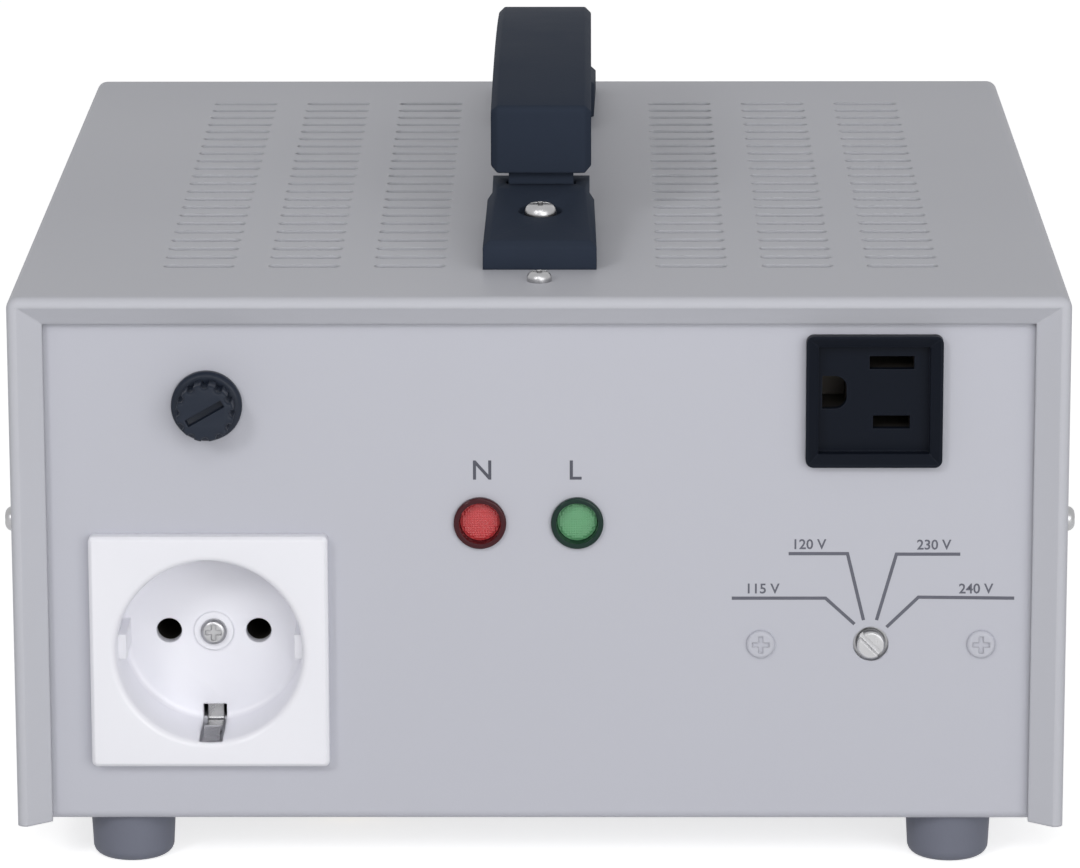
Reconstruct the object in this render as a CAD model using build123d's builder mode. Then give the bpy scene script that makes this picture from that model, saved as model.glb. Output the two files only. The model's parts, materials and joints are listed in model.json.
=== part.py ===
from build123d import *
from math import cos, radians, sin
import os

os.makedirs("parts", exist_ok=True)

# All sizes are millimetres. The origin is on the floor under the middle of the case.
# The control panel faces -Y, +X is to the right of someone looking at it, +Z is up.

# Clearances and fits
rest_gap = 0.3
running_fit = 0.05
close_fit = 0.1

# Folded steel case
case_width = 220.0
case_depth = 245.0
cover_height = 114.0
cover_sheet = 1.2
cover_bend = 2.5
cover_lift = 0.2
chassis_sheet = 1.5
chassis_bend = 2.0
panel_corner = 2.0
lip_run = 5.0
lip_run_top = 4.2
lip_flat = 2.1
lip_fall = 3.8
lip_setback = 1.4
lip_round = 1.8
panel_recess = 5.8
return_depth = 18.0
return_relief = 8.0

# Cooling slots in the cover
vent_length = 15.0
vent_width = 3.2
vent_pitch = 8.7
vent_rows = 22
vent_shift = 2.3
vent_column_near = 29.7
vent_column_middle = 52.0
vent_column_far = 74.2

# Rubber feet
foot_height = 10.6
foot_diameter = 18.2
foot_taper = 0.6
foot_round = 2.2
foot_inset_x = 23.2
foot_inset_y = 17.5
foot_recess_diameter = 9.0
foot_recess_depth = 6.0
foot_screw_shank = 4.0
foot_screw_head = 7.6
foot_screw_head_height = 2.6
foot_nut_flats = 7.0
foot_nut_height = 3.2

# Small case screws
case_screw_shank = 4.0
case_screw_head = 5.2
case_screw_head_height = 2.1
case_screw_length = 8.0
case_screw_slot = 1.0
side_screw_height = 64.3
side_screw_inset = 11.5
top_screw_inset = 16.5

screw_crown = 0.7
screw_cross_length = 0.6
screw_cross_depth = 0.45
screw_point = 1.2

# Carrying handle
handle_shift = 7.5
handle_margin = 27.3
handle_end_width = 24.0
handle_end_length = 50.7
handle_end_front_height = 6.0
handle_end_back_height = 10.0
handle_end_ramp = 36.7
handle_end_edge = 1.2
handle_end_waist = 23.0
handle_side_bevel = 1.3
handle_side_bevel_rear = 2.4
handle_neck_width = 21.0
handle_neck_length = 16.0
handle_screw_inset = 21.3
handle_screw_shank = 5.0
handle_screw_head = 6.8
handle_screw_head_height = 3.0
handle_screw_recess = 9.4
handle_screw_seat = 7.0
handle_nut_flats = 8.0
handle_nut_height = 4.0
handle_washer = 12.0
handle_washer_height = 1.2
grip_width = 21.7
grip_thickness = 7.5
grip_bottom = 12.7
grip_knee = 27.3
grip_crown = 30.6
grip_inset = 39.5
grip_knee_round = 1.7
grip_edge = 1.4
strap_width = 14.0
strap_thickness = 2.4
strap_foot_width = 17.6
strap_foot_length = 6.0
strap_foot_height = 3.0
handle_lift = 3.6
strap_play = 0.5

# Two-pin earthed outlet, 50 x 50 mm
outlet_inset = 40.8
outlet_height = 37.6
outlet_plate = 50.0
outlet_proud = 3.5
outlet_plate_corner = 1.2
outlet_plate_edge = 0.7
outlet_recess = 39.0
outlet_recess_depth = 17.5
outlet_rim_round = 1.6
outlet_floor_round = 1.5
outlet_cup = 44.0
outlet_floor = 3.0
outlet_pin_spacing = 19.0
outlet_pin_hole = 5.4
outlet_screw_head = 5.6
outlet_screw_head_height = 1.5
outlet_screw_shank = 3.5
outlet_boss = 8.4
outlet_boss_height = 0.6
outlet_guide_width = 5.4
outlet_guide_height = 1.8
outlet_guide_length = 13.0
outlet_slot_width = 5.0
outlet_slot_depth = 1.9
outlet_slot_lip = 0.8
outlet_base_depth = 21.0
outlet_base_wall = 2.0
outlet_base_boss = 7.0
outlet_screw_grip = 8.0
outlet_ring = 52.0
outlet_ring_height = 4.0
clip_width = 3.4
clip_strip = 0.9
clip_bow = 2.4
clip_tip_depth = 2.4
clip_bow_depth = 7.5
clip_bend_depth = 14.0
clip_round = 1.0
contact_outer = 7.4
contact_length = 17.5
contact_end = 1.0
contact_tab_width = 6.3
contact_tab_strip = 0.8
contact_tab_length = 12.0

# Three-blade outlet in a snap-in frame
blade_outlet_inset = 40.4
blade_outlet_drop = 23.0
blade_frame_width = 28.4
blade_frame_height = 28.0
blade_frame_proud = 2.2
blade_bevel_depth = 1.5
blade_frame_corner = 1.6
blade_rim = 0.5
blade_recess_draft = 2.1
blade_recess_step = 1.8
blade_floor = 2.0
blade_body_width = 25.6
blade_body_height = 24.8
blade_body_depth = 24.0
blade_wall = 1.4
blade_centre_shift = 3.7
blade_centre_rise = 1.2
blade_spacing = 12.7
blade_slot_width = 2.8
blade_slot_neutral = 9.3
blade_slot_live = 7.7
earth_slot_shift = 11.9
earth_slot_width = 5.1
earth_slot_height = 7.0
blade_contact_depth = 12.0
blade_contact_wall = 0.6
blade_tag_width = 4.8
blade_tag_length = 14.0
blade_back = 2.0

# Panel fuse holder and its link
fuse_inset = 40.9
fuse_drop = 24.0
fuse_flange = 14.8
fuse_flange_height = 2.2
fuse_flange_edge = 0.7
fuse_barrel = 12.4
fuse_barrel_length = 32.0
fuse_bore = 9.0
fuse_nut_flats = 17.0
fuse_nut_height = 4.0
fuse_cap_diameter = 12.0
fuse_cap_height = 5.6
fuse_cap_edge = 0.4
fuse_cap_slot_length = 8.6
fuse_cap_slot_width = 1.6
fuse_cap_slot_depth = 2.0
fuse_cap_boss = 8.2
fuse_cap_boss_length = 2.0
fuse_cap_stub = 3.0
fuse_cap_grip_count = 12
fuse_cap_grip_cut = 0.8
fuse_carrier_outer = 8.2
fuse_carrier_front = 2.5
fuse_carrier_length = 15.0
fuse_link_diameter = 5.2
fuse_link_length = 20.0
fuse_link_cap_length = 5.0
fuse_link_glass = 4.8
fuse_link_glass_wall = 0.5
fuse_link_end = 0.8
fuse_tag_width = 4.8
fuse_tag_strip = 0.8
fuse_tag_length = 9.0
fuse_side_tag_depth = 19.0

# Neon pilot lamps, set just behind the face of the panel
lamp_red_x = -12.4
lamp_green_x = 7.9
lamp_height = 64.9
lamp_lens = 11.0
lamp_lens_proud = 1.2
lamp_lens_edge = 0.4
lamp_rim = 1.1
lamp_face = 8.4
lamp_face_depth = 2.6
lamp_face_thickness = 1.2
lamp_barrel = 10.0
lamp_barrel_length = 9.0
lamp_sleeve = 12.4
lamp_sleeve_length = 18.0
lamp_sleeve_end = 1.5
lamp_bulb = 5.6
lamp_bulb_length = 13.0
lamp_bulb_round = 1.8
lamp_clip = 17.0
lamp_clip_height = 0.8

# Tap selector with a slotted shaft
selector_inset = 40.55
selector_height = 38.6
selector_shaft = 6.0
selector_shaft_proud = 1.5
selector_shaft_edge = 0.4
selector_panel_hole = 7.4
selector_slot_width = 1.2
selector_slot_depth = 2.0
selector_rest_angle = 135.0
selector_step_angle = 30.0
selector_steps = 4
selector_plate_width = 58.0
selector_plate_height = 22.0
selector_plate_sheet = 2.0
selector_plate_corner = 3.0
selector_screw_reach = 23.1
selector_screw_head = 6.0
selector_screw_head_height = 1.0
selector_screw_shank = 4.0
selector_body_diameter = 38.0
selector_end_thickness = 2.0
selector_body_depth = 24.0
selector_body_wall = 2.6
selector_disc = 26.0
selector_disc_height = 4.0
selector_wiper_reach = 14.6
selector_wiper_width = 5.0
selector_wiper_strip = 1.2
selector_wiper_hub = 12.0
selector_stud_radius = 12.0
selector_stud = 4.0
selector_stud_proud = 4.0
selector_slip_ring_outer = 13.0
selector_slip_ring_bore = 7.4
selector_tag_width = 6.3
selector_tag_strip = 0.8
selector_tag_length = 9.0

# Autotransformer on a laminated core
core_shift = 8.0
core_width = 120.0
core_headroom = 11.5
core_stack = 62.0
core_leg = 20.0
core_window = 20.0
core_hole_inset = 10.0
core_bolt = 6.0
core_bolt_flats = 10.0
core_bolt_head = 4.0
core_nut_height = 5.0
angle_sheet = 2.5
angle_foot = 17.0
angle_screw_reach = 36.0
angle_screw = 5.0
angle_screw_flats = 8.0
angle_screw_head = 3.5
angle_nut_height = 4.0
bobbin_wall = 1.5
bobbin_flange = 2.0
bobbin_flange_overhang = 21.0
bobbin_corner = 3.0
winding_common = 7.0
winding_barrier = 0.5
winding_series = 6.5
winding_tape = 0.6
tap_count = 6
tap_pitch = 11.0
tap_width = 6.3
tap_strip = 0.8
tap_rise = 11.0
tap_setback = 3.0

# Mains inlet gland and earth stud
gland_inset = 35.0
gland_height = 30.7
gland_thread = 16.0
gland_flats = 22.0
gland_flange = 4.0
gland_tail = 7.0
gland_thread_reach = 4.0
gland_bore = 9.0
gland_dome = 21.0
gland_dome_end = 1.5
gland_seal = 14.0
earth_stud_inset_x = 68.0
earth_stud_inset_y = 44.5
earth_stud = 5.0
earth_stud_length = 16.0
earth_nut_flats = 8.0
earth_nut_height = 4.0

# Levels and faces that follow from the sizes above
underside = foot_height
floor_top = underside + chassis_sheet
cover_bottom = underside + cover_lift
cover_top = cover_bottom + cover_height
cover_inside = case_width / 2 - cover_sheet
chassis_half = cover_inside - rest_gap
panel_top = cover_top - cover_sheet - rest_gap
panel_face = case_depth / 2 - panel_recess
panel_back = panel_face - chassis_sheet
outlet_x = outlet_inset - case_width / 2
fuse_x = fuse_inset - case_width / 2
gland_x = gland_inset - case_width / 2
earth_stud_x = earth_stud_inset_x - case_width / 2
earth_stud_y = earth_stud_inset_y - case_depth / 2
blade_outlet_x = case_width / 2 - blade_outlet_inset
selector_x = case_width / 2 - selector_inset
fuse_height = cover_top - underside - fuse_drop
blade_outlet_height = cover_top - underside - blade_outlet_drop
core_tall = cover_top - cover_sheet - core_headroom - floor_top
front = Plane(origin=(0, -panel_face, underside), x_dir=(1, 0, 0), z_dir=(0, -1, 0))
rear = Plane(origin=(0, panel_face, underside), x_dir=(-1, 0, 0), z_dir=(0, 1, 0))
cut_margin = 2.0
foot_x = case_width / 2 - foot_inset_x
foot_y = case_depth / 2 - foot_inset_y
foot_spots = [(x, y) for x in (-foot_x, foot_x) for y in (-foot_y, foot_y)]
side_screw_y = case_depth / 2 - side_screw_inset
side_screw_z = underside + side_screw_height
top_screw_y = case_depth / 2 - top_screw_inset
handle_half_length = case_depth / 2 + handle_shift - handle_margin
handle_screw_reach = handle_half_length - handle_screw_inset
grip_reach = handle_half_length - grip_inset
handle_screw_spots = [(0, handle_shift - handle_screw_reach), (0, handle_shift + handle_screw_reach)]


def finish(block, name):
    """Label one finished piece and write its STEP file."""
    block.part.label = name
    export_step(block.part, f"parts/{name}.step")


def at_panel(x, height, depth=0.0):
    """Plane on the panel at a height over the underside, facing out, depth mm behind the face."""
    spot = (x, depth - panel_face, underside + height)
    return Plane(origin=spot, x_dir=(1, 0, 0), z_dir=(0, -1, 0))


def spot_on(plane, x, y):
    """The same plane with its origin moved to a spot given in the plane's own x and y."""
    return plane.shift_origin(plane.from_local_coords((x, y, 0)))


def rod(plane, diameter, length):
    """Solid round bar from a plane along its normal, or against it where length is negative."""
    with BuildPart() as bar:
        with BuildSketch(plane):
            Circle(diameter / 2)
        extrude(amount=length)
    return bar.part


def hex_bar(plane, flats, length, bore=0.0):
    """Hexagonal bar or nut from a plane along its normal."""
    with BuildPart() as bar:
        with BuildSketch(plane):
            RegularPolygon(flats / 2, 6, major_radius=False)
            if bore > 0:
                Circle(bore / 2, mode=Mode.SUBTRACT)
        extrude(amount=length)
    return bar.part


def pan_screw(plane, head, head_height, shank, length, slot):
    """Domed cross-slot screw: the head stands on the plane and the shank runs behind it."""
    with BuildPart() as screw:
        with BuildSketch(plane):
            Circle(head / 2)
        extrude(amount=head_height)
        rim = screw.edges().filter_by(GeomType.CIRCLE).sort_by(Axis(plane.origin, plane.z_dir))[-1]
        fillet(rim, radius=head_height * screw_crown)
        with BuildSketch(plane):
            Circle(shank / 2)
        extrude(amount=-length)
        with BuildSketch(plane.offset(head_height)):
            Rectangle(head * screw_cross_length, slot)
            Rectangle(slot, head * screw_cross_length)
        extrude(amount=-head_height * screw_cross_depth, mode=Mode.SUBTRACT)
    return screw.part


def ring(plane, outer, inner, length):
    """Flat ring or tube from a plane along its normal."""
    with BuildPart() as washer:
        with BuildSketch(plane):
            Circle(outer / 2)
            Circle(inner / 2, mode=Mode.SUBTRACT)
        extrude(amount=length)
    return washer.part


def tag(plane, width, strip, length):
    """Flat connection tag that stands on a plane."""
    with BuildPart() as blade:
        with BuildSketch(plane):
            Rectangle(strip, width)
        extrude(amount=length)
    return blade.part


def lip_block(setback, bottom):
    """Block inside the slanting face of the front lip, that face set back from the front edge."""
    edge = Plane.XZ.offset(case_depth / 2)
    half = case_width / 2 - lip_flat
    top = cover_top - lip_flat
    with BuildPart() as block:
        if setback > 0:
            with BuildSketch(edge):
                with Locations((0, (top + bottom) / 2)):
                    Rectangle(2 * half, top - bottom)
            extrude(amount=-setback)
        with BuildSketch(edge.offset(-setback)):
            with Locations((0, (top + bottom) / 2)):
                Rectangle(2 * half, top - bottom)
        with BuildSketch(edge.offset(-setback - lip_fall)):
            with Locations((0, (top - lip_run_top + bottom) / 2)):
                Rectangle(2 * (half - lip_run), top - lip_run_top - bottom)
        loft()
    return block.part


# Cover: one folded sheet with a bevelled lip turned in round the front and the rear
lip_solid = lip_block(lip_setback, cover_bottom)
lip_void = lip_block(0, cover_bottom - cut_margin)
opening_half = case_width / 2 - lip_flat - lip_run
opening_top = cover_top - lip_flat - lip_run_top
handle_hole = handle_screw_shank + 2 * close_fit
case_screw_hole = case_screw_shank + 2 * close_fit
vent_columns = [
    (vent_shift + side * column, 0)
    for side in (-1, 1)
    for column in (vent_column_near, vent_column_middle, vent_column_far)
]

with BuildPart() as cover:
    with BuildSketch(Plane.XZ) as cover_outline:
        with Locations((0, cover_bottom + cover_height / 2)):
            Rectangle(case_width, cover_height)
        fillet(cover_outline.vertices().group_by(Axis.Y)[-1], radius=cover_bend)
    extrude(amount=case_depth / 2)
    with BuildSketch(Plane.XZ):
        with Locations((0, cover_top - cover_sheet - cover_height)):
            RectangleRounded(2 * cover_inside, 2 * cover_height, cover_bend - cover_sheet)
    extrude(amount=case_depth / 2 - lip_setback, mode=Mode.SUBTRACT)
    add(lip_solid)
    add(lip_void, mode=Mode.SUBTRACT)
    with BuildSketch(Plane.XZ.offset(case_depth / 2)):
        with Locations((0, opening_top - cover_height)):
            Rectangle(2 * opening_half, 2 * cover_height)
    extrude(amount=-2 * (lip_setback + lip_fall), mode=Mode.SUBTRACT)
    rim = cover.edges().filter_by_position(Axis.Y, -case_depth / 2 - rest_gap, -case_depth / 2 + rest_gap)
    outer_rim = rim.filter_by(lambda edge: edge.center().Z > cover_top - close_fit
                              or abs(edge.center().X) > case_width / 2 - close_fit)
    fillet(outer_rim, radius=lip_round)
    mirror(about=Plane.XZ)
    with BuildSketch(Plane.XY.offset(cover_top)):
        with Locations(*vent_columns):
            with GridLocations(0, vent_pitch, 1, vent_rows):
                SlotOverall(vent_length, vent_width)
    extrude(amount=-2 * cover_sheet, mode=Mode.SUBTRACT)
    with BuildSketch(Plane.XY.offset(cover_top)):
        with Locations(*handle_screw_spots):
            Circle(handle_hole / 2)
        with Locations((0, -top_screw_y)):
            Circle(case_screw_hole / 2)
    extrude(amount=-2 * cover_sheet, mode=Mode.SUBTRACT)
    with BuildSketch(Plane.YZ):
        with Locations((-side_screw_y, side_screw_z), (side_screw_y, side_screw_z)):
            Circle(case_screw_hole / 2)
    extrude(amount=case_width, both=True, mode=Mode.SUBTRACT)
finish(cover, "cover")


# Chassis: floor, front panel and rear panel folded from one sheet, with narrow returns for the screws
outlet_cut = outlet_cup + 2 * rest_gap
blade_cut_width = blade_body_width + 2 * rest_gap
blade_cut_height = blade_body_height + 2 * rest_gap
angle_foot_y = core_stack / 2 + angle_sheet + (angle_foot - angle_sheet) / 2
angle_spots = [
    (x, core_shift + y) for x in (-angle_screw_reach, angle_screw_reach) for y in (-angle_foot_y, angle_foot_y)
]
return_tall = panel_top - underside - 2 * return_relief
return_y = panel_back - (return_depth - chassis_sheet) / 2

with BuildPart() as chassis:
    with BuildSketch(Plane.YZ) as chassis_outline:
        with Locations((0, (underside + panel_top) / 2)):
            Rectangle(2 * panel_face, panel_top - underside)
        fillet(chassis_outline.vertices().group_by(Axis.Y)[0], radius=chassis_bend)
        with Locations((0, floor_top + cover_height)):
            RectangleRounded(2 * panel_back, 2 * cover_height, chassis_bend - chassis_sheet, mode=Mode.SUBTRACT)
    extrude(amount=chassis_half, both=True)
    panel_corners = chassis.edges().filter_by(Axis.Y).group_by(Axis.Z)[-1]
    chamfer(panel_corners, length=panel_corner)
    with BuildSketch(Plane.XY.offset(underside + return_relief)):
        with GridLocations(2 * chassis_half - chassis_sheet, 2 * return_y, 2, 2):
            Rectangle(chassis_sheet, return_depth - chassis_sheet)
    extrude(amount=return_tall)
    with BuildSketch(Plane.XY.offset(panel_top)):
        with GridLocations(0, 2 * return_y, 1, 2):
            Rectangle(2 * (chassis_half - return_relief), return_depth - chassis_sheet)
    extrude(amount=-chassis_sheet)
    with BuildSketch(front):
        with Locations((outlet_x, outlet_height)):
            Circle(outlet_cut / 2)
        with Locations((blade_outlet_x, blade_outlet_height)):
            Rectangle(blade_cut_width, blade_cut_height)
        with Locations((fuse_x, fuse_height)):
            Circle(fuse_barrel / 2 + close_fit)
        with Locations((lamp_red_x, lamp_height), (lamp_green_x, lamp_height)):
            Circle(lamp_barrel / 2 + close_fit)
        with Locations((selector_x, selector_height)):
            Circle(selector_panel_hole / 2)
        with Locations((selector_x - selector_screw_reach, selector_height),
                       (selector_x + selector_screw_reach, selector_height)):
            Circle(selector_screw_shank / 2 + close_fit)
    extrude(amount=-2 * chassis_sheet, mode=Mode.SUBTRACT)
    with BuildSketch(rear):
        with Locations((-gland_x, gland_height)):
            Circle(gland_thread / 2 + close_fit)
    extrude(amount=-2 * chassis_sheet, mode=Mode.SUBTRACT)
    with BuildSketch(Plane.XY.offset(underside)):
        with Locations(*foot_spots):
            Circle(foot_screw_shank / 2 + close_fit)
        with Locations(*angle_spots):
            Circle(angle_screw / 2 + close_fit)
        with Locations((earth_stud_x, earth_stud_y)):
            Circle(earth_stud / 2 + close_fit)
    extrude(amount=2 * chassis_sheet, mode=Mode.SUBTRACT)
    with BuildSketch(Plane.YZ):
        with Locations((-side_screw_y, side_screw_z), (side_screw_y, side_screw_z)):
            Circle(case_screw_hole / 2)
    extrude(amount=case_width, both=True, mode=Mode.SUBTRACT)
    with BuildSketch(Plane.XY.offset(panel_top)):
        with Locations((0, -top_screw_y)):
            Circle(case_screw_hole / 2)
    extrude(amount=-2 * chassis_sheet, mode=Mode.SUBTRACT)
finish(chassis, "chassis")


# Rubber feet and their screws
with BuildPart() as one_foot:
    with BuildSketch(Plane.XY.offset(foot_height)):
        Circle(foot_diameter / 2)
    with BuildSketch(Plane.XY):
        Circle(foot_diameter / 2 - foot_taper)
    loft()
    fillet(one_foot.edges().sort_by(Axis.Z)[0], radius=foot_round)
    with BuildSketch(Plane.XY):
        Circle(foot_recess_diameter / 2)
    extrude(amount=foot_recess_depth, mode=Mode.SUBTRACT)
    with BuildSketch(Plane.XY):
        Circle(foot_screw_shank / 2 + close_fit)
    extrude(amount=foot_height, mode=Mode.SUBTRACT)

with BuildPart() as rubber_feet:
    with Locations(*foot_spots):
        add(one_foot.part)
finish(rubber_feet, "rubber_feet")

foot_screw_grip = foot_height - foot_recess_depth + chassis_sheet
foot_seat = Plane((0, 0, foot_recess_depth), z_dir=(0, 0, -1))
one_foot_screw = pan_screw(foot_seat, foot_screw_head, foot_screw_head_height, foot_screw_shank,
                           foot_screw_grip + foot_nut_height + screw_point, case_screw_slot)
with BuildPart() as foot_screws:
    with Locations(*foot_spots):
        add(one_foot_screw)
finish(foot_screws, "foot_screws")

one_foot_nut = hex_bar(Plane.XY.offset(floor_top), foot_nut_flats, foot_nut_height, foot_screw_shank)
with BuildPart() as foot_nuts:
    with Locations(*foot_spots):
        add(one_foot_nut)
finish(foot_nuts, "foot_nuts")


# Cover screws: two in each side and one in the top, near the front
with BuildPart() as cover_side_screws:
    for side in (-1, 1):
        for end in (-1, 1):
            seat = Plane(origin=(side * case_width / 2, end * side_screw_y, side_screw_z), z_dir=(side, 0, 0))
            add(pan_screw(seat, case_screw_head, case_screw_head_height, case_screw_shank,
                          case_screw_length, case_screw_slot))
finish(cover_side_screws, "cover_side_screws")

with BuildPart() as cover_top_screw:
    add(pan_screw(Plane((0, -top_screw_y, cover_top)), case_screw_head, case_screw_head_height,
                  case_screw_shank, case_screw_length, case_screw_slot))
finish(cover_top_screw, "cover_top_screw")


# Carrying handle: two end caps screwed to the cover, and a bow that lifts a little in them
bow_side = Plane(origin=(0, handle_shift, cover_top), x_dir=(0, 1, 0), z_dir=(1, 0, 0))
strap_inset = (grip_thickness - strap_thickness) / 2
strap_reach = grip_reach - strap_inset
strap_middle = strap_reach - strap_thickness / 2
strap_roof = rest_gap + strap_foot_height + handle_lift + rest_gap


def bow_outline(reach, bottom, knee, crown, thickness):
    """Side outline of an arched bow of even thickness, as a face."""
    inner = reach - thickness
    with BuildSketch() as outline:
        with BuildLine():
            Polyline((-reach, bottom), (-reach, knee))
            ThreePointArc((-reach, knee), (0, crown), (reach, knee))
            Polyline((reach, knee), (reach, bottom), (inner, bottom), (inner, knee - thickness))
            ThreePointArc((inner, knee - thickness), (0, crown - thickness), (-inner, knee - thickness))
            Polyline((-inner, knee - thickness), (-inner, bottom), (-reach, bottom))
        make_face()
    return outline.sketch


with BuildPart() as handle_strap:
    with BuildSketch(bow_side):
        add(bow_outline(strap_reach, rest_gap, grip_knee - strap_inset, grip_crown - strap_inset,
                        strap_thickness))
    extrude(amount=strap_width / 2, both=True)
    with BuildSketch(bow_side):
        with Locations((-strap_middle, rest_gap + strap_foot_height / 2),
                       (strap_middle, rest_gap + strap_foot_height / 2)):
            Rectangle(strap_foot_length, strap_foot_height)
    extrude(amount=strap_foot_width / 2, both=True)
finish(handle_strap, "handle_strap")

with BuildPart() as handle_grip:
    with BuildSketch(bow_side) as grip_outline:
        add(bow_outline(grip_reach, grip_bottom, grip_knee, grip_crown, grip_thickness))
        knees = grip_outline.vertices().filter_by_position(Axis.Y, grip_knee - rest_gap, grip_knee + rest_gap)
        fillet(knees, radius=grip_knee_round)
    extrude(amount=grip_width / 2, both=True)
    sides = handle_grip.faces().filter_by(Plane.YZ)
    chamfer(sides.edges(), length=grip_edge)
    add(handle_strap.part, mode=Mode.SUBTRACT)
finish(handle_grip, "handle_grip")

end_outer = handle_half_length
end_inner = handle_half_length - handle_end_length
ramp_end = handle_half_length - handle_end_ramp
neck_start = end_inner + handle_neck_length
neck_taper = (handle_end_waist - handle_neck_width) / 2


def side_bevel(side):
    """Plane of the bevel along one side of the front handle end, which widens towards the grip."""
    start = (side * (handle_end_width / 2 - handle_side_bevel), handle_shift - end_outer,
             cover_top + handle_end_front_height)
    across = Vector(side, 0, -1)
    along = Vector(side * (handle_side_bevel - handle_side_bevel_rear), handle_end_ramp,
                   handle_end_back_height - handle_end_front_height)
    return Plane(origin=start, x_dir=across, z_dir=across.cross(along) * side)


with BuildPart() as handle_end_front:
    with BuildSketch(bow_side):
        with BuildLine():
            Polyline((-end_outer, 0), (-end_outer, handle_end_front_height), (-ramp_end, handle_end_back_height),
                     (-end_inner, handle_end_back_height), (-end_inner, 0), (-end_outer, 0))
        make_face()
    extrude(amount=handle_end_width / 2, both=True)
    front_edge = handle_end_front.edges().filter_by(Axis.X).group_by(Axis.Y)[0].sort_by(Axis.Z)[-1]
    chamfer(front_edge, length=handle_end_edge)
    for side in (-1, 1):
        with BuildSketch(side_bevel(side)):
            Rectangle(2 * handle_end_width, 4 * handle_end_length)
        extrude(amount=handle_end_width, mode=Mode.SUBTRACT)
    with BuildSketch(Plane.XY.offset(cover_top)):
        with BuildLine():
            Polyline((-handle_end_width / 2, handle_shift - end_outer),
                     (-handle_end_waist / 2, handle_shift - neck_start),
                     (-handle_neck_width / 2, handle_shift - neck_start + 2 * neck_taper),
                     (-handle_neck_width / 2, handle_shift - end_inner),
                     (0, handle_shift - end_inner))
            mirror(about=Plane.YZ)
            Line((-handle_end_width / 2, handle_shift - end_outer),
                 (handle_end_width / 2, handle_shift - end_outer))
        make_face()
    extrude(amount=handle_end_back_height, mode=Mode.INTERSECT)
    with BuildSketch(Plane.XY.offset(cover_top + handle_screw_seat)):
        with Locations((0, handle_shift - handle_screw_reach)):
            Circle(handle_screw_recess / 2)
    extrude(amount=handle_end_back_height, mode=Mode.SUBTRACT)
    with BuildSketch(Plane.XY.offset(cover_top)):
        with Locations((0, handle_shift - handle_screw_reach)):
            Circle(handle_hole / 2)
    extrude(amount=handle_end_back_height, mode=Mode.SUBTRACT)
    with BuildSketch(Plane.XY.offset(cover_top)):
        with Locations((0, handle_shift - strap_middle)):
            Rectangle(strap_foot_width + 2 * strap_play, strap_foot_length + 2 * strap_play)
    extrude(amount=strap_roof, mode=Mode.SUBTRACT)
    with BuildSketch(Plane.XY.offset(cover_top)):
        with Locations((0, handle_shift - strap_middle)):
            Rectangle(strap_width + 2 * strap_play, strap_thickness + 2 * strap_play)
    extrude(amount=handle_end_back_height, mode=Mode.SUBTRACT)
finish(handle_end_front, "handle_end_front")

with BuildPart() as handle_end_rear:
    mirror(handle_end_front.part, about=Plane.XZ.offset(-handle_shift))
finish(handle_end_rear, "handle_end_rear")

handle_stack = handle_screw_seat + cover_sheet + handle_washer_height + handle_nut_height
with BuildPart() as handle_screws:
    for spot in handle_screw_spots:
        seat = Plane((spot[0], spot[1], cover_top + handle_screw_seat))
        add(pan_screw(seat, handle_screw_head, handle_screw_head_height, handle_screw_shank,
                      handle_stack + screw_point, case_screw_slot))
finish(handle_screws, "handle_screws")

with BuildPart() as handle_nuts:
    for spot in handle_screw_spots:
        under = Plane((spot[0], spot[1], cover_top - cover_sheet))
        add(ring(under, handle_washer, handle_screw_shank, -handle_washer_height))
        add(hex_bar(under.offset(-handle_washer_height), handle_nut_flats, -handle_nut_height, handle_screw_shank))
finish(handle_nuts, "handle_nuts")


# Earthed outlet: moulded front, rear base, fixing ring, earth clip, pin contacts and centre screw
outlet = at_panel(outlet_x, outlet_height)
outlet_face = outlet.offset(outlet_proud)
outlet_bottom = outlet_face.offset(-outlet_recess_depth)
outlet_back = outlet_bottom.offset(-outlet_floor)
outlet_radius = outlet_recess / 2
slot_reach = outlet_radius + outlet_slot_depth
pin_spots = [(-outlet_pin_spacing / 2, 0), (outlet_pin_spacing / 2, 0)]

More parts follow.
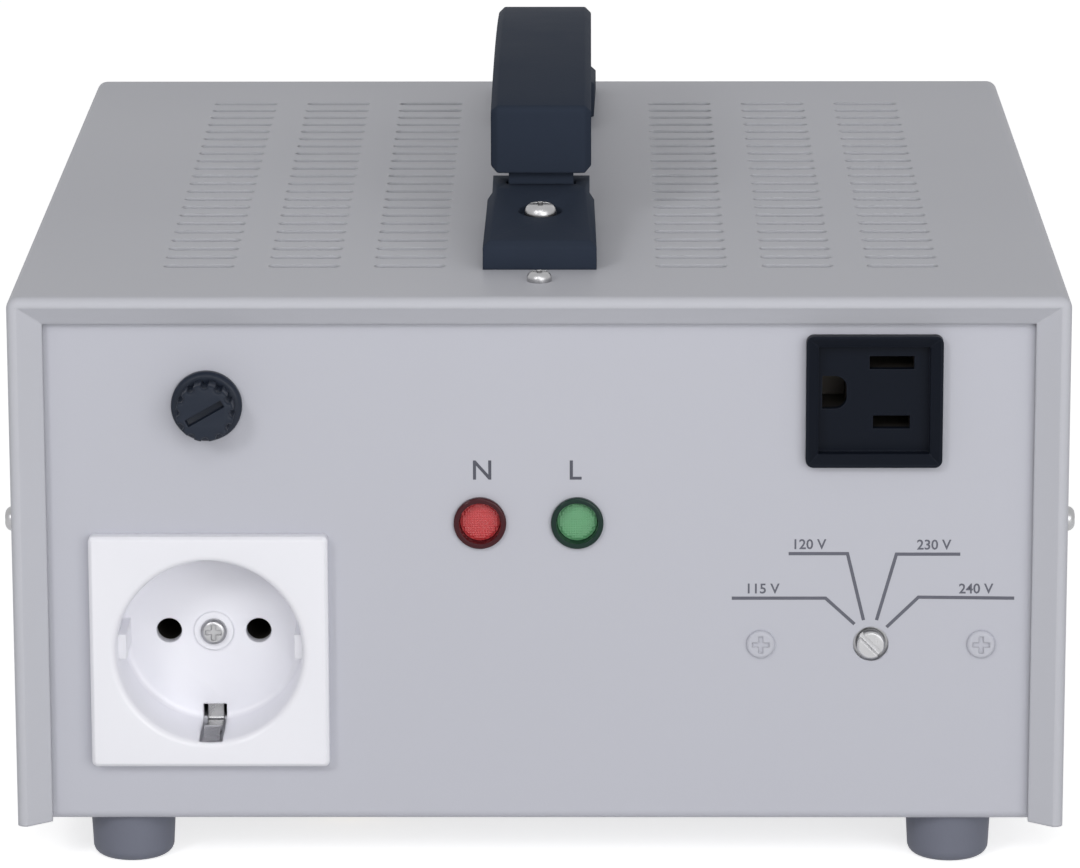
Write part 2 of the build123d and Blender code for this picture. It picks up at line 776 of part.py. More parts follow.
with BuildPart() as outlet_front:
    with BuildSketch(outlet):
        RectangleRounded(outlet_plate, outlet_plate, outlet_plate_corner)
    extrude(amount=outlet_proud)
    chamfer(outlet_front.edges().group_by(Axis.Y)[0], length=outlet_plate_edge)
    with BuildSketch(outlet_back):
        Circle(outlet_cup / 2)
    extrude(amount=outlet_recess_depth + outlet_floor - outlet_proud)
    with BuildSketch(outlet_face):
        Circle(outlet_radius)
    extrude(amount=-outlet_recess_depth, mode=Mode.SUBTRACT)
    for place, rounding in ((0, outlet_rim_round), (-1, outlet_floor_round)):
        recess_rims = outlet_front.edges().filter_by(
            lambda edge: edge.geom_type == GeomType.CIRCLE and abs(edge.radius - outlet_radius) < running_fit)
        fillet(recess_rims.sort_by(Axis.Y)[place], radius=rounding)
    with BuildSketch(outlet_bottom):
        with GridLocations(2 * outlet_radius - outlet_guide_height, 0, 2, 1):
            Rectangle(outlet_guide_height + close_fit, outlet_guide_width)
        Circle(outlet_boss / 2)
    extrude(amount=outlet_boss_height)
    with BuildSketch(outlet_bottom):
        with GridLocations(2 * outlet_radius - outlet_guide_height, 0, 2, 1):
            Rectangle(outlet_guide_height + close_fit, outlet_guide_width)
    extrude(amount=outlet_guide_length)
    with BuildSketch(outlet_face.offset(-outlet_slot_lip)):
        with GridLocations(0, 2 * slot_reach - clip_bow - clip_strip - outlet_slot_depth, 1, 2):
            Rectangle(outlet_slot_width, clip_bow + clip_strip + outlet_slot_depth)
    extrude(amount=outlet_slot_lip - outlet_recess_depth - outlet_floor, mode=Mode.SUBTRACT)
    with BuildSketch(outlet_bottom):
        with Locations(*pin_spots):
            Circle(outlet_pin_hole / 2)
        Circle(outlet_screw_shank / 2 + close_fit)
    extrude(amount=-outlet_floor, mode=Mode.SUBTRACT)
    with BuildSketch(outlet_bottom):
        Circle(outlet_screw_shank / 2 + close_fit)
    extrude(amount=outlet_boss_height, mode=Mode.SUBTRACT)
finish(outlet_front, "outlet_front")

with BuildPart() as outlet_base:
    with BuildSketch(outlet_back):
        Circle(outlet_cup / 2)
    extrude(amount=-outlet_base_depth)
    with BuildSketch(outlet_back):
        Circle(outlet_cup / 2 - outlet_base_wall)
    extrude(amount=outlet_base_wall - outlet_base_depth, mode=Mode.SUBTRACT)
    with BuildSketch(outlet_back.offset(-clip_strip - close_fit)):
        Circle(outlet_base_boss / 2)
    extrude(amount=clip_strip + close_fit + outlet_base_wall - outlet_base_depth)
    with BuildSketch(outlet_back):
        Circle(outlet_screw_shank / 2)
    extrude(amount=-outlet_screw_grip - clip_strip, mode=Mode.SUBTRACT)
    with BuildSketch(outlet_back):
        with Locations(*pin_spots):
            Rectangle(contact_tab_strip + 2 * close_fit, contact_tab_width + 2 * close_fit)
    extrude(amount=-outlet_base_depth, mode=Mode.SUBTRACT)
    with BuildSketch(outlet_back):
        Rectangle(clip_width + 2 * close_fit, 2 * slot_reach)
    extrude(amount=-clip_strip - close_fit, mode=Mode.SUBTRACT)
finish(outlet_base, "outlet_base")

with BuildPart() as outlet_contacts:
    with BuildSketch(outlet_back):
        with Locations(*pin_spots):
            Circle(contact_outer / 2)
    extrude(amount=-contact_length)
    with BuildSketch(outlet_back):
        with Locations(*pin_spots):
            Circle(outlet_pin_hole / 2)
    extrude(amount=contact_end - contact_length, mode=Mode.SUBTRACT)
    with BuildSketch(outlet_back.offset(-contact_length)):
        with Locations(*pin_spots):
            Rectangle(contact_tab_strip, contact_tab_width)
    extrude(amount=-contact_tab_length)
finish(outlet_contacts, "outlet_contacts")

clip_side = Plane(origin=outlet_face.origin, x_dir=(0, 1, 0), z_dir=(1, 0, 0))
clip_middle = slot_reach - close_fit - clip_strip / 2
clip_bar_depth = outlet_recess_depth + outlet_floor + clip_strip / 2
with BuildPart() as outlet_earth_clip:
    with BuildSketch(clip_side):
        with BuildLine():
            FilletPolyline(
                (clip_tip_depth, clip_middle), (clip_bow_depth, clip_middle - clip_bow),
                (clip_bend_depth, clip_middle), (clip_bar_depth, clip_middle),
                (clip_bar_depth, -clip_middle), (clip_bend_depth, -clip_middle),
                (clip_bow_depth, clip_bow - clip_middle), (clip_tip_depth, -clip_middle),
                radius=clip_round)
        trace(line_width=clip_strip)
    extrude(amount=clip_width / 2, both=True)
    with BuildSketch(outlet_back):
        Circle(outlet_screw_shank / 2 + close_fit)
    extrude(amount=-2 * clip_strip, mode=Mode.SUBTRACT)
finish(outlet_earth_clip, "outlet_earth_clip")

with BuildPart() as outlet_screw:
    add(pan_screw(outlet_bottom.offset(outlet_boss_height), outlet_screw_head, outlet_screw_head_height,
                  outlet_screw_shank, outlet_boss_height + outlet_floor + outlet_screw_grip, case_screw_slot))
finish(outlet_screw, "outlet_screw")

with BuildPart() as outlet_fixing_ring:
    add(ring(at_panel(outlet_x, outlet_height, chassis_sheet), outlet_ring, outlet_cup + 2 * close_fit,
             -outlet_ring_height))
finish(outlet_fixing_ring, "outlet_fixing_ring")


# Three-blade outlet: framed housing, back plate and three contacts
blade = at_panel(blade_outlet_x, blade_outlet_height)
blade_inner_width = blade_frame_width - 2 * blade_rim - 2 * blade_recess_draft
blade_inner_height = blade_frame_height - 2 * blade_rim - 2 * blade_recess_draft
blade_back_width = blade_body_width - 2 * blade_wall - 2 * close_fit
blade_back_height = blade_body_height - 2 * blade_wall - 2 * close_fit
blade_bevel_end = blade.offset(blade_frame_proud - blade_bevel_depth)
blade_face = blade.offset(-blade_recess_step)
blade_inside = blade_face.offset(-blade_floor)
neutral_spot = (blade_centre_shift, blade_centre_rise + blade_spacing / 2)
live_spot = (blade_centre_shift, blade_centre_rise - blade_spacing / 2)
earth_spot = (blade_centre_shift - earth_slot_shift, blade_centre_rise)

with BuildPart() as blade_housing:
    with BuildSketch(blade):
        RectangleRounded(blade_frame_width, blade_frame_height, blade_frame_corner)
    extrude(amount=blade_frame_proud)
    with BuildSketch(blade):
        Rectangle(blade_body_width, blade_body_height)
    extrude(amount=-blade_body_depth)
    with BuildSketch(blade.offset(blade_frame_proud)):
        Rectangle(blade_frame_width - 2 * blade_rim, blade_frame_height - 2 * blade_rim)
    with BuildSketch(blade_bevel_end):
        Rectangle(blade_inner_width, blade_inner_height)
    loft(mode=Mode.SUBTRACT)
    with BuildSketch(blade_face):
        Rectangle(blade_inner_width, blade_inner_height)
    extrude(amount=blade_recess_step + blade_frame_proud - blade_bevel_depth, mode=Mode.SUBTRACT)
    with BuildSketch(blade_inside):
        Rectangle(blade_body_width - 2 * blade_wall, blade_body_height - 2 * blade_wall)
    extrude(amount=blade_recess_step + blade_floor - blade_body_depth, mode=Mode.SUBTRACT)
    with BuildSketch(blade_face):
        with Locations(neutral_spot):
            Rectangle(blade_slot_neutral, blade_slot_width)
        with Locations(live_spot):
            Rectangle(blade_slot_live, blade_slot_width)
    extrude(amount=-blade_floor, mode=Mode.SUBTRACT)
    with BuildSketch(blade_face) as earth_hole:
        with Locations(earth_spot):
            Rectangle(earth_slot_width, earth_slot_height)
        fillet(earth_hole.vertices().group_by(Axis.X)[-1], radius=earth_slot_width / 2 - close_fit)
    extrude(amount=-blade_floor, mode=Mode.SUBTRACT)
finish(blade_housing, "blade_housing")

blade_contact_sizes = [
    (neutral_spot, blade_slot_neutral, blade_slot_width),
    (live_spot, blade_slot_live, blade_slot_width),
    (earth_spot, earth_slot_width, earth_slot_height),
]
blade_tag_spots = [neutral_spot, live_spot, earth_spot]
with BuildPart() as blade_contacts:
    for spot, wide, tall in blade_contact_sizes:
        with BuildSketch(blade_inside):
            with Locations(spot):
                Rectangle(wide + 2 * blade_contact_wall, tall + 2 * blade_contact_wall)
        extrude(amount=-blade_contact_depth)
        with BuildSketch(blade_inside):
            with Locations(spot):
                Rectangle(wide, tall)
        extrude(amount=blade_contact_wall - blade_contact_depth, mode=Mode.SUBTRACT)
    with BuildSketch(blade_inside.offset(-blade_contact_depth)):
        with Locations(*blade_tag_spots):
            Rectangle(blade_tag_width, contact_tab_strip)
    extrude(amount=-blade_tag_length)
finish(blade_contacts, "blade_contacts")

with BuildPart() as blade_back_plate:
    with BuildSketch(blade.offset(-blade_body_depth)):
        Rectangle(blade_back_width, blade_back_height)
        with Locations(*blade_tag_spots):
            Rectangle(blade_tag_width + 2 * close_fit, contact_tab_strip + 2 * close_fit, mode=Mode.SUBTRACT)
    extrude(amount=blade_back)
finish(blade_back_plate, "blade_back_plate")


# Fuse holder: body held by a nut, and a cap that turns on a carrier which draws the link out
fuse = at_panel(fuse_x, fuse_height)
fuse_cap_seat = fuse.offset(fuse_flange_height + rest_gap)
fuse_boss_end = fuse_cap_seat.offset(-fuse_cap_boss_length)
carrier_front = fuse_boss_end.offset(-rest_gap)
link_front = carrier_front.offset(-fuse_carrier_front)
fuse_bore_depth = (fuse_cap_boss_length + rest_gap + fuse_carrier_front + fuse_link_length
                   - fuse_flange_height)

with BuildPart() as fuse_holder:
    with BuildSketch(fuse):
        Circle(fuse_flange / 2)
    extrude(amount=fuse_flange_height)
    chamfer(fuse_holder.edges().sort_by(Axis.Y)[0], length=fuse_flange_edge)
    with BuildSketch(fuse):
        Circle(fuse_barrel / 2)
    extrude(amount=-fuse_barrel_length)
    with BuildSketch(fuse.offset(fuse_flange_height)):
        Circle(fuse_bore / 2)
    extrude(amount=-fuse_flange_height - fuse_bore_depth, mode=Mode.SUBTRACT)
finish(fuse_holder, "fuse_holder")

with BuildPart() as fuse_holder_nut:
    add(hex_bar(fuse.offset(-chassis_sheet), fuse_nut_flats, -fuse_nut_height, fuse_barrel))
finish(fuse_holder_nut, "fuse_holder_nut")

with BuildPart() as fuse_holder_tags:
    add(tag(fuse.offset(-fuse_barrel_length), fuse_tag_width, fuse_tag_strip, -fuse_tag_length))
    side_spot = (fuse_x + fuse_barrel / 2, fuse_side_tag_depth - panel_face, underside + fuse_height)
    side_tag = Plane(origin=side_spot, x_dir=(0, 1, 0), z_dir=(1, 0, 0))
    add(tag(side_tag, fuse_tag_width, fuse_tag_strip, fuse_tag_length))
finish(fuse_holder_tags, "fuse_holder_tags")

with BuildPart() as fuse_cap:
    with BuildSketch(fuse_cap_seat):
        Circle(fuse_cap_diameter / 2)
        with PolarLocations(fuse_cap_diameter / 2, fuse_cap_grip_count):
            Circle(fuse_cap_grip_cut, mode=Mode.SUBTRACT)
    extrude(amount=fuse_cap_height)
    cap_front = fuse_cap.faces().sort_by(Axis.Y)[0]
    chamfer(cap_front.edges(), length=fuse_cap_edge)
    with BuildSketch(fuse_cap_seat.offset(fuse_cap_height)):
        Rectangle(fuse_cap_slot_length, fuse_cap_slot_width, rotation=selector_step_angle)
    extrude(amount=-fuse_cap_slot_depth, mode=Mode.SUBTRACT)
    with BuildSketch(fuse_cap_seat):
        Circle(fuse_cap_boss / 2)
    extrude(amount=-fuse_cap_boss_length)
    with BuildSketch(fuse_boss_end):
        Circle(fuse_cap_stub / 2)
    extrude(amount=-rest_gap - fuse_carrier_front)
finish(fuse_cap, "fuse_cap")

with BuildPart() as fuse_carrier:
    with BuildSketch(carrier_front):
        Circle(fuse_carrier_outer / 2)
    extrude(amount=-fuse_carrier_length)
    with BuildSketch(link_front):
        Circle(fuse_link_diameter / 2 + running_fit)
    extrude(amount=fuse_carrier_front - fuse_carrier_length, mode=Mode.SUBTRACT)
    with BuildSketch(carrier_front):
        Circle(fuse_cap_stub / 2 + running_fit)
    extrude(amount=-fuse_carrier_front, mode=Mode.SUBTRACT)
finish(fuse_carrier, "fuse_carrier")

link_start = link_front.offset(-rest_gap)
link_run = fuse_link_length - 2 * rest_gap
with BuildPart() as fuse_link_ends:
    for near, sign in ((link_start, -1), (link_start.offset(-link_run), 1)):
        with BuildSketch(near):
            Circle(fuse_link_diameter / 2)
        extrude(amount=sign * fuse_link_cap_length)
        with BuildSketch(near.offset(sign * fuse_link_end)):
            Circle(fuse_link_glass / 2)
        extrude(amount=sign * (fuse_link_cap_length - fuse_link_end), mode=Mode.SUBTRACT)
finish(fuse_link_ends, "fuse_link_ends")

with BuildPart() as fuse_link_tube:
    add(ring(link_start.offset(-fuse_link_end), fuse_link_glass, fuse_link_glass - 2 * fuse_link_glass_wall,
             2 * fuse_link_end - link_run))
finish(fuse_link_tube, "fuse_link_tube")


# Neon pilot lamps: coloured lens with a sunk face, spring clip, sleeve and bulb
lamps = [at_panel(lamp_red_x, lamp_height), at_panel(lamp_green_x, lamp_height)]
lamp_recess = lamp_lens - 2 * lamp_rim
lamp_hollow_start = lamp_face_depth + lamp_face_thickness - lamp_lens_proud
lamp_sleeve_start = chassis_sheet + lamp_clip_height


def lamp_lens_at(lamp):
    """Coloured lens of one pilot lamp: flange in front of the panel and barrel through it."""
    with BuildPart() as lens:
        with BuildSketch(lamp):
            Circle(lamp_lens / 2)
        extrude(amount=lamp_lens_proud)
        fillet(lens.edges().sort_by(Axis.Y)[0], radius=lamp_lens_edge)
        with BuildSketch(lamp):
            Circle(lamp_barrel / 2)
        extrude(amount=-lamp_barrel_length)
        with BuildSketch(lamp.offset(lamp_lens_proud)):
            Circle(lamp_recess / 2)
        with BuildSketch(lamp.offset(lamp_lens_proud - lamp_face_depth)):
            Circle(lamp_face / 2)
        loft(mode=Mode.SUBTRACT)
        with BuildSketch(lamp.offset(-lamp_hollow_start)):
            Circle(lamp_barrel / 2 - lamp_face_thickness)
        extrude(amount=lamp_hollow_start - lamp_barrel_length, mode=Mode.SUBTRACT)
    return lens.part


with BuildPart() as lamp_red_lens:
    add(lamp_lens_at(lamps[0]))
finish(lamp_red_lens, "lamp_red_lens")

with BuildPart() as lamp_green_lens:
    add(lamp_lens_at(lamps[1]))
finish(lamp_green_lens, "lamp_green_lens")

with BuildPart() as lamp_clips:
    for lamp in lamps:
        add(ring(lamp.offset(-chassis_sheet), lamp_clip, lamp_barrel, -lamp_clip_height))
finish(lamp_clips, "lamp_clips")

with BuildPart() as lamp_sleeves:
    for lamp in lamps:
        sleeve_front = lamp.offset(-lamp_sleeve_start)
        add(ring(sleeve_front, lamp_sleeve, lamp_barrel, lamp_sleeve_end - lamp_sleeve_length))
        add(rod(sleeve_front.offset(lamp_sleeve_end - lamp_sleeve_length), lamp_sleeve, -lamp_sleeve_end))
finish(lamp_sleeves, "lamp_sleeves")

with BuildPart() as lamp_bulbs:
    for lamp in lamps:
        add(rod(lamp.offset(lamp_sleeve_end - lamp_sleeve_start - lamp_sleeve_length), lamp_bulb,
                lamp_bulb_length))
    fillet(lamp_bulbs.edges().group_by(Axis.Y)[0], radius=lamp_bulb_round)
finish(lamp_bulbs, "lamp_bulbs")


# Tap selector: mounting plate, closed body, slotted shaft with disc and wiper, and contact studs
selector = at_panel(selector_x, selector_height)
selector_plate_front = selector.offset(-chassis_sheet)
selector_end_front = selector_plate_front.offset(-selector_plate_sheet)
selector_body_front = selector_end_front.offset(-selector_end_thickness)
selector_body_inside = selector_body_front.offset(selector_body_wall - selector_body_depth)
selector_body_back = selector_body_front.offset(-selector_body_depth)
selector_bore = selector_shaft + 2 * running_fit
wiper_back = selector_body_inside.offset(selector_stud_proud + rest_gap)
disc_back = wiper_back.offset(selector_wiper_strip)
stud_spots = [
    (selector_stud_radius * cos(radians(selector_rest_angle - step * selector_step_angle)),
     selector_stud_radius * sin(radians(selector_rest_angle - step * selector_step_angle)))
    for step in range(selector_steps)
]
slip_ring_spot = (0, -(selector_slip_ring_outer + selector_slip_ring_bore) / 4)
selector_screw_spots = [(-selector_screw_reach, 0), (selector_screw_reach, 0)]

with BuildPart() as selector_plate:
    with BuildSketch(selector_plate_front):
        RectangleRounded(selector_plate_width, selector_plate_height, selector_plate_corner)
        Circle(selector_bore / 2, mode=Mode.SUBTRACT)
        with Locations(*selector_screw_spots):
            Circle(selector_screw_shank / 2, mode=Mode.SUBTRACT)
    extrude(amount=-selector_plate_sheet)
finish(selector_plate, "selector_plate")

with BuildPart() as selector_screws:
    for spot in selector_screw_spots:
        add(pan_screw(at_panel(selector_x + spot[0], selector_height), selector_screw_head,
                      selector_screw_head_height, selector_screw_shank,
                      chassis_sheet + selector_plate_sheet, case_screw_slot))
finish(selector_screws, "selector_screws")

with BuildPart() as selector_end:
    add(ring(selector_end_front, selector_body_diameter, selector_bore, -selector_end_thickness))
finish(selector_end, "selector_end")

with BuildPart() as selector_body:
    with BuildSketch(selector_body_front):
        Circle(selector_body_diameter / 2)
    extrude(amount=-selector_body_depth)
    with BuildSketch(selector_body_front):
        Circle(selector_body_diameter / 2 - selector_body_wall)
    extrude(amount=selector_body_wall - selector_body_depth, mode=Mode.SUBTRACT)
    with BuildSketch(selector_body_inside):
        Circle(selector_bore / 2)
        with Locations(*stud_spots):
            Circle(selector_stud / 2)
        with Locations(slip_ring_spot):
            Rectangle(selector_tag_width, selector_tag_strip)
    extrude(amount=-selector_body_wall, mode=Mode.SUBTRACT)
finish(selector_body, "selector_body")

with BuildPart() as selector_contacts:
    with BuildSketch(selector_body_inside.offset(selector_stud_proud)):
        with Locations(*stud_spots):
            Circle(selector_stud / 2)
    extrude(amount=-selector_stud_proud - selector_body_wall)
    with BuildSketch(selector_body_back):
        with Locations(*stud_spots):
            Rectangle(selector_tag_strip, selector_tag_width)
    extrude(amount=-selector_tag_length)
    add(ring(selector_body_inside, selector_slip_ring_outer, selector_slip_ring_bore, selector_stud_proud))
    with BuildSketch(selector_body_inside):
        with Locations(slip_ring_spot):
            Rectangle(selector_tag_width, selector_tag_strip)
    extrude(amount=-selector_body_wall - selector_tag_length)
finish(selector_contacts, "selector_contacts")

shaft_run = (selector_shaft_proud + chassis_sheet + selector_plate_sheet + selector_end_thickness
             + selector_body_depth)
with BuildPart() as selector_rod:
    add(rod(selector.offset(selector_shaft_proud), selector_shaft, -shaft_run))
    chamfer(selector_rod.edges().sort_by(Axis.Y)[0], length=selector_shaft_edge)
    with BuildSketch(selector.offset(selector_shaft_proud)):
        Rectangle(2 * selector_shaft, selector_slot_width, rotation=selector_rest_angle)
    extrude(amount=-selector_slot_depth, mode=Mode.SUBTRACT)
finish(selector_rod, "selector_shaft")

with BuildPart() as selector_rotor:
    add(ring(disc_back, selector_disc, selector_shaft, selector_disc_height))
finish(selector_rotor, "selector_disc")

with BuildPart() as selector_wiper:
    with BuildSketch(disc_back):
        Circle(selector_wiper_hub / 2)
        with PolarLocations(0, 1, start_angle=selector_rest_angle):
            with Locations((selector_wiper_reach / 2, 0)):
                Rectangle(selector_wiper_reach, selector_wiper_width)
        Circle(selector_shaft / 2, mode=Mode.SUBTRACT)
    extrude(amount=-selector_wiper_strip)
finish(selector_wiper, "selector_wiper")


# Autotransformer: laminated core on two foot angles, wound bobbin, clamping bolts and tap tags
core_bottom = floor_top
core_front = Plane(origin=(0, core_shift - core_stack / 2, core_bottom), x_dir=(1, 0, 0), z_dir=(0, -1, 0))
core_rear = Plane(origin=(0, core_shift + core_stack / 2, core_bottom), x_dir=(-1, 0, 0), z_dir=(0, 1, 0))
bolt_reach = core_width / 2 - core_hole_inset
bolt_levels = (core_hole_inset, core_tall - core_hole_inset)
bolt_spots = [(x, z) for x in (-bolt_reach, bolt_reach) for z in bolt_levels]
bobbin_bottom = Plane((0, core_shift, core_bottom + core_leg))
bobbin_tall = core_tall - 2 * core_leg - rest_gap
bobbin_bore_x = 2 * core_leg + 2 * rest_gap
bobbin_bore_y = core_stack + 2 * rest_gap
bobbin_flange_x = 2 * (core_leg + core_window) - 2 * rest_gap
bobbin_flange_y = core_stack + 2 * bobbin_flange_overhang

with BuildPart() as core_laminations:
    with BuildSketch(core_front):
        with Locations((0, core_tall / 2)):
            Rectangle(core_width, core_tall)
            with GridLocations(2 * core_leg + core_window, 0, 2, 1):
                Rectangle(core_window, core_tall - 2 * core_leg, mode=Mode.SUBTRACT)
        with Locations(*bolt_spots):
            Circle(core_bolt / 2 + close_fit, mode=Mode.SUBTRACT)
    extrude(amount=-core_stack)
finish(core_laminations, "core_laminations")

with BuildPart() as bobbin:
    with BuildSketch(bobbin_bottom):
        Rectangle(bobbin_flange_x, bobbin_flange_y)
    extrude(amount=bobbin_flange)
    with BuildSketch(bobbin_bottom.offset(bobbin_tall - bobbin_flange)):
        Rectangle(bobbin_flange_x, bobbin_flange_y)
    extrude(amount=bobbin_flange)
    with BuildSketch(bobbin_bottom):
        RectangleRounded(bobbin_bore_x + 2 * bobbin_wall, bobbin_bore_y + 2 * bobbin_wall, bobbin_corner)
    extrude(amount=bobbin_tall)
    with BuildSketch(bobbin_bottom):
        Rectangle(bobbin_bore_x, bobbin_bore_y)
    extrude(amount=bobbin_tall, mode=Mode.SUBTRACT)
finish(bobbin, "bobbin")


def winding_layer(start, thickness):
    """One wound layer that wraps the bobbin wall between its flanges, start mm out from that wall."""
    wide = bobbin_bore_x + 2 * bobbin_wall + 2 * start
    deep = bobbin_bore_y + 2 * bobbin_wall + 2 * start
    with BuildPart() as layer:
        with BuildSketch(bobbin_bottom.offset(bobbin_flange)):
            RectangleRounded(wide + 2 * thickness, deep + 2 * thickness, bobbin_corner + start + thickness)
            RectangleRounded(wide, deep, bobbin_corner + start, mode=Mode.SUBTRACT)
        extrude(amount=bobbin_tall - 2 * bobbin_flange)
    return layer.part


with BuildPart() as winding_inner:
    add(winding_layer(0, winding_common))
finish(winding_inner, "winding_common")

with BuildPart() as winding_outer:
    add(winding_layer(winding_common + winding_barrier, winding_series))
finish(winding_outer, "winding_series")

with BuildPart() as winding_wraps:
    add(winding_layer(winding_common, winding_barrier))
    add(winding_layer(winding_common + winding_barrier + winding_series, winding_tape))
finish(winding_wraps, "winding_tape")

with BuildPart() as tap_tags:
    with BuildSketch(bobbin_bottom.offset(bobbin_tall)):
        with Locations((0, tap_setback - bobbin_flange_y / 2)):
            with GridLocations(tap_pitch, 0, tap_count, 1):
                Rectangle(tap_width, tap_strip)
    extrude(amount=tap_rise)
finish(tap_tags, "tap_tags")

with BuildPart() as core_foot_angles:
    for face in (core_front, core_rear):
        with BuildSketch(face):
            with Locations((0, core_leg / 2)):
                Rectangle(core_width, core_leg)
            with Locations(*bolt_spots):
                Circle(core_bolt / 2 + close_fit, mode=Mode.SUBTRACT)
        extrude(amount=angle_sheet)
    with BuildSketch(Plane.XY.offset(core_bottom)):
        for side in (-1, 1):
            with Locations((0, core_shift + side * (core_stack + angle_foot) / 2)):
                Rectangle(core_width, angle_foot)
        with Locations(*angle_spots):
            Circle(angle_screw / 2 + close_fit, mode=Mode.SUBTRACT)
    extrude(amount=angle_sheet)
finish(core_foot_angles, "core_foot_angles")

with BuildPart() as core_top_straps:
    for face in (core_front, core_rear):
        with BuildSketch(face):
            with Locations((0, core_tall - core_leg / 2)):
                Rectangle(core_width, core_leg)
            with Locations(*bolt_spots):
                Circle(core_bolt / 2 + close_fit, mode=Mode.SUBTRACT)
        extrude(amount=angle_sheet)
finish(core_top_straps, "core_top_straps")

with BuildPart() as core_bolts:
    for x, z in bolt_spots:
        head_seat = spot_on(core_front.offset(angle_sheet), x, z)
        add(hex_bar(head_seat, core_bolt_flats, core_bolt_head))
        add(rod(head_seat, core_bolt, -core_stack - 2 * angle_sheet - core_nut_height - screw_point))
finish(core_bolts, "core_bolts")

with BuildPart() as core_nuts:
    for x, z in bolt_spots:
        nut_seat = spot_on(core_rear.offset(angle_sheet), x, z)
        add(hex_bar(nut_seat, core_bolt_flats, core_nut_height, core_bolt))
finish(core_nuts, "core_nuts")

with BuildPart() as angle_screws:
    for x, y in angle_spots:
        add(hex_bar(Plane((x, y, underside)), angle_screw_flats, -angle_screw_head))
        add(rod(Plane((x, y, underside)), angle_screw,
                chassis_sheet + angle_sheet + angle_nut_height + screw_point))
finish(angle_screws, "angle_screws")

with BuildPart() as angle_nuts:
    for x, y in angle_spots:
        add(hex_bar(Plane((x, y, floor_top + angle_sheet)), angle_screw_flats, angle_nut_height, angle_screw))
finish(angle_nuts, "angle_nuts")


# Mains inlet gland, clamped from inside the rear panel by its dome nut, and the earth stud on the floor
gland = Plane(origin=(gland_x, panel_face, underside + gland_height), x_dir=(-1, 0, 0), z_dir=(0, 1, 0))
gland_reach = fuse_flange_height + rest_gap + fuse_cap_height
gland_shoulder = gland.offset(-chassis_sheet)
gland_end = gland_shoulder.offset(-gland_flange - gland_tail)
gland_seal_length = gland_reach - gland_thread_reach - gland_dome_end

with BuildPart() as gland_body:
    add(hex_bar(gland_shoulder, gland_flats, -gland_flange))
    add(rod(gland_end, gland_thread, gland_tail + gland_flange + chassis_sheet + gland_thread_reach))
    add(rod(gland_end, gland_bore, gland_tail + gland_flange + chassis_sheet + gland_thread_reach),
        mode=Mode.SUBTRACT)
finish(gland_body, "gland_body")

with BuildPart() as gland_dome_nut:
    add(rod(gland, gland_dome, gland_reach))
    fillet(gland_dome_nut.edges().sort_by(Axis.Y)[-1], radius=gland_dome_end)
    add(rod(gland, gland_thread, gland_thread_reach), mode=Mode.SUBTRACT)
    add(rod(gland.offset(gland_thread_reach), gland_seal, gland_seal_length), mode=Mode.SUBTRACT)
    add(rod(gland, gland_bore, gland_reach), mode=Mode.SUBTRACT)
finish(gland_dome_nut, "gland_dome_nut")

with BuildPart() as gland_seal_ring:
    add(ring(gland.offset(gland_thread_reach), gland_seal, gland_bore, gland_seal_length))
finish(gland_seal_ring, "gland_seal")

with BuildPart() as earth_stud_rod:
    stud_seat = Plane((earth_stud_x, earth_stud_y, underside))
    add(hex_bar(stud_seat, earth_nut_flats, -angle_screw_head))
    add(rod(stud_seat, earth_stud, earth_stud_length))
finish(earth_stud_rod, "earth_stud")

with BuildPart() as earth_nuts:
    for level in (floor_top, floor_top + earth_nut_height):
        add(hex_bar(Plane((earth_stud_x, earth_stud_y, level)), earth_nut_flats, earth_nut_height, earth_stud))
finish(earth_nuts, "earth_nuts")
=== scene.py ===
"""Looks of a benchtop voltage transformer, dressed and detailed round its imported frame."""

from __future__ import annotations

import json
import logging
import math
from collections.abc import Callable
from dataclasses import dataclass, field
from enum import Enum

import bpy
from mathutils import Matrix, Vector


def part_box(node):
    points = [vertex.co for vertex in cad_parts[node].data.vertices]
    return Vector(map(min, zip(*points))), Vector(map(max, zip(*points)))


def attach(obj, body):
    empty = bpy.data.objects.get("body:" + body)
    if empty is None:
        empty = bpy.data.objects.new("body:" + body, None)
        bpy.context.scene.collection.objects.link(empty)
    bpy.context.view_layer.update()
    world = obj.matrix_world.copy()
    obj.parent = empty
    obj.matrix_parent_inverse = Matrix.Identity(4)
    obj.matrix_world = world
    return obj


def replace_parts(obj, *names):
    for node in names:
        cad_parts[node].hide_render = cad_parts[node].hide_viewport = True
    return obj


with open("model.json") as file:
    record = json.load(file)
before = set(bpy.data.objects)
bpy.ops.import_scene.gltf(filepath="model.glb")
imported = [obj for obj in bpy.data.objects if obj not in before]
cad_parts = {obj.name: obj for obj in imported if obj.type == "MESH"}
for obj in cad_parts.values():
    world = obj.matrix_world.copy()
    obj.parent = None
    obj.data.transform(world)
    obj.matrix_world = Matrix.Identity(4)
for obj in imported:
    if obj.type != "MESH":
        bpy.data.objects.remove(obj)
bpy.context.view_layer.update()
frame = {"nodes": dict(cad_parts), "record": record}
MM = 0.001
LOG = logging.getLogger("transformer")

# Places on the case that several pieces share, in metres
PANEL_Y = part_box("chassis")[0].y
CASE_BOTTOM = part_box("cover")[0].z

# Edges flatter than this many degrees count as smooth
SMOOTH_ANGLE = 35.0
# Faces of a copy that meet flatter than this many degrees are one face
FLAT_ANGLE = 0.6
# Points nearer than this are one point, in metres
MERGE_NEW = 0.001 * MM
MERGE_COPY = 0.002 * MM

Colour = tuple[float, float, float]


class Body(Enum):
    """Rigid bodies of the frame that pieces ride on."""

    ROOT = "root"
    HANDLE = "handle_bow"
    FUSE_TURN = "fuse_turner"


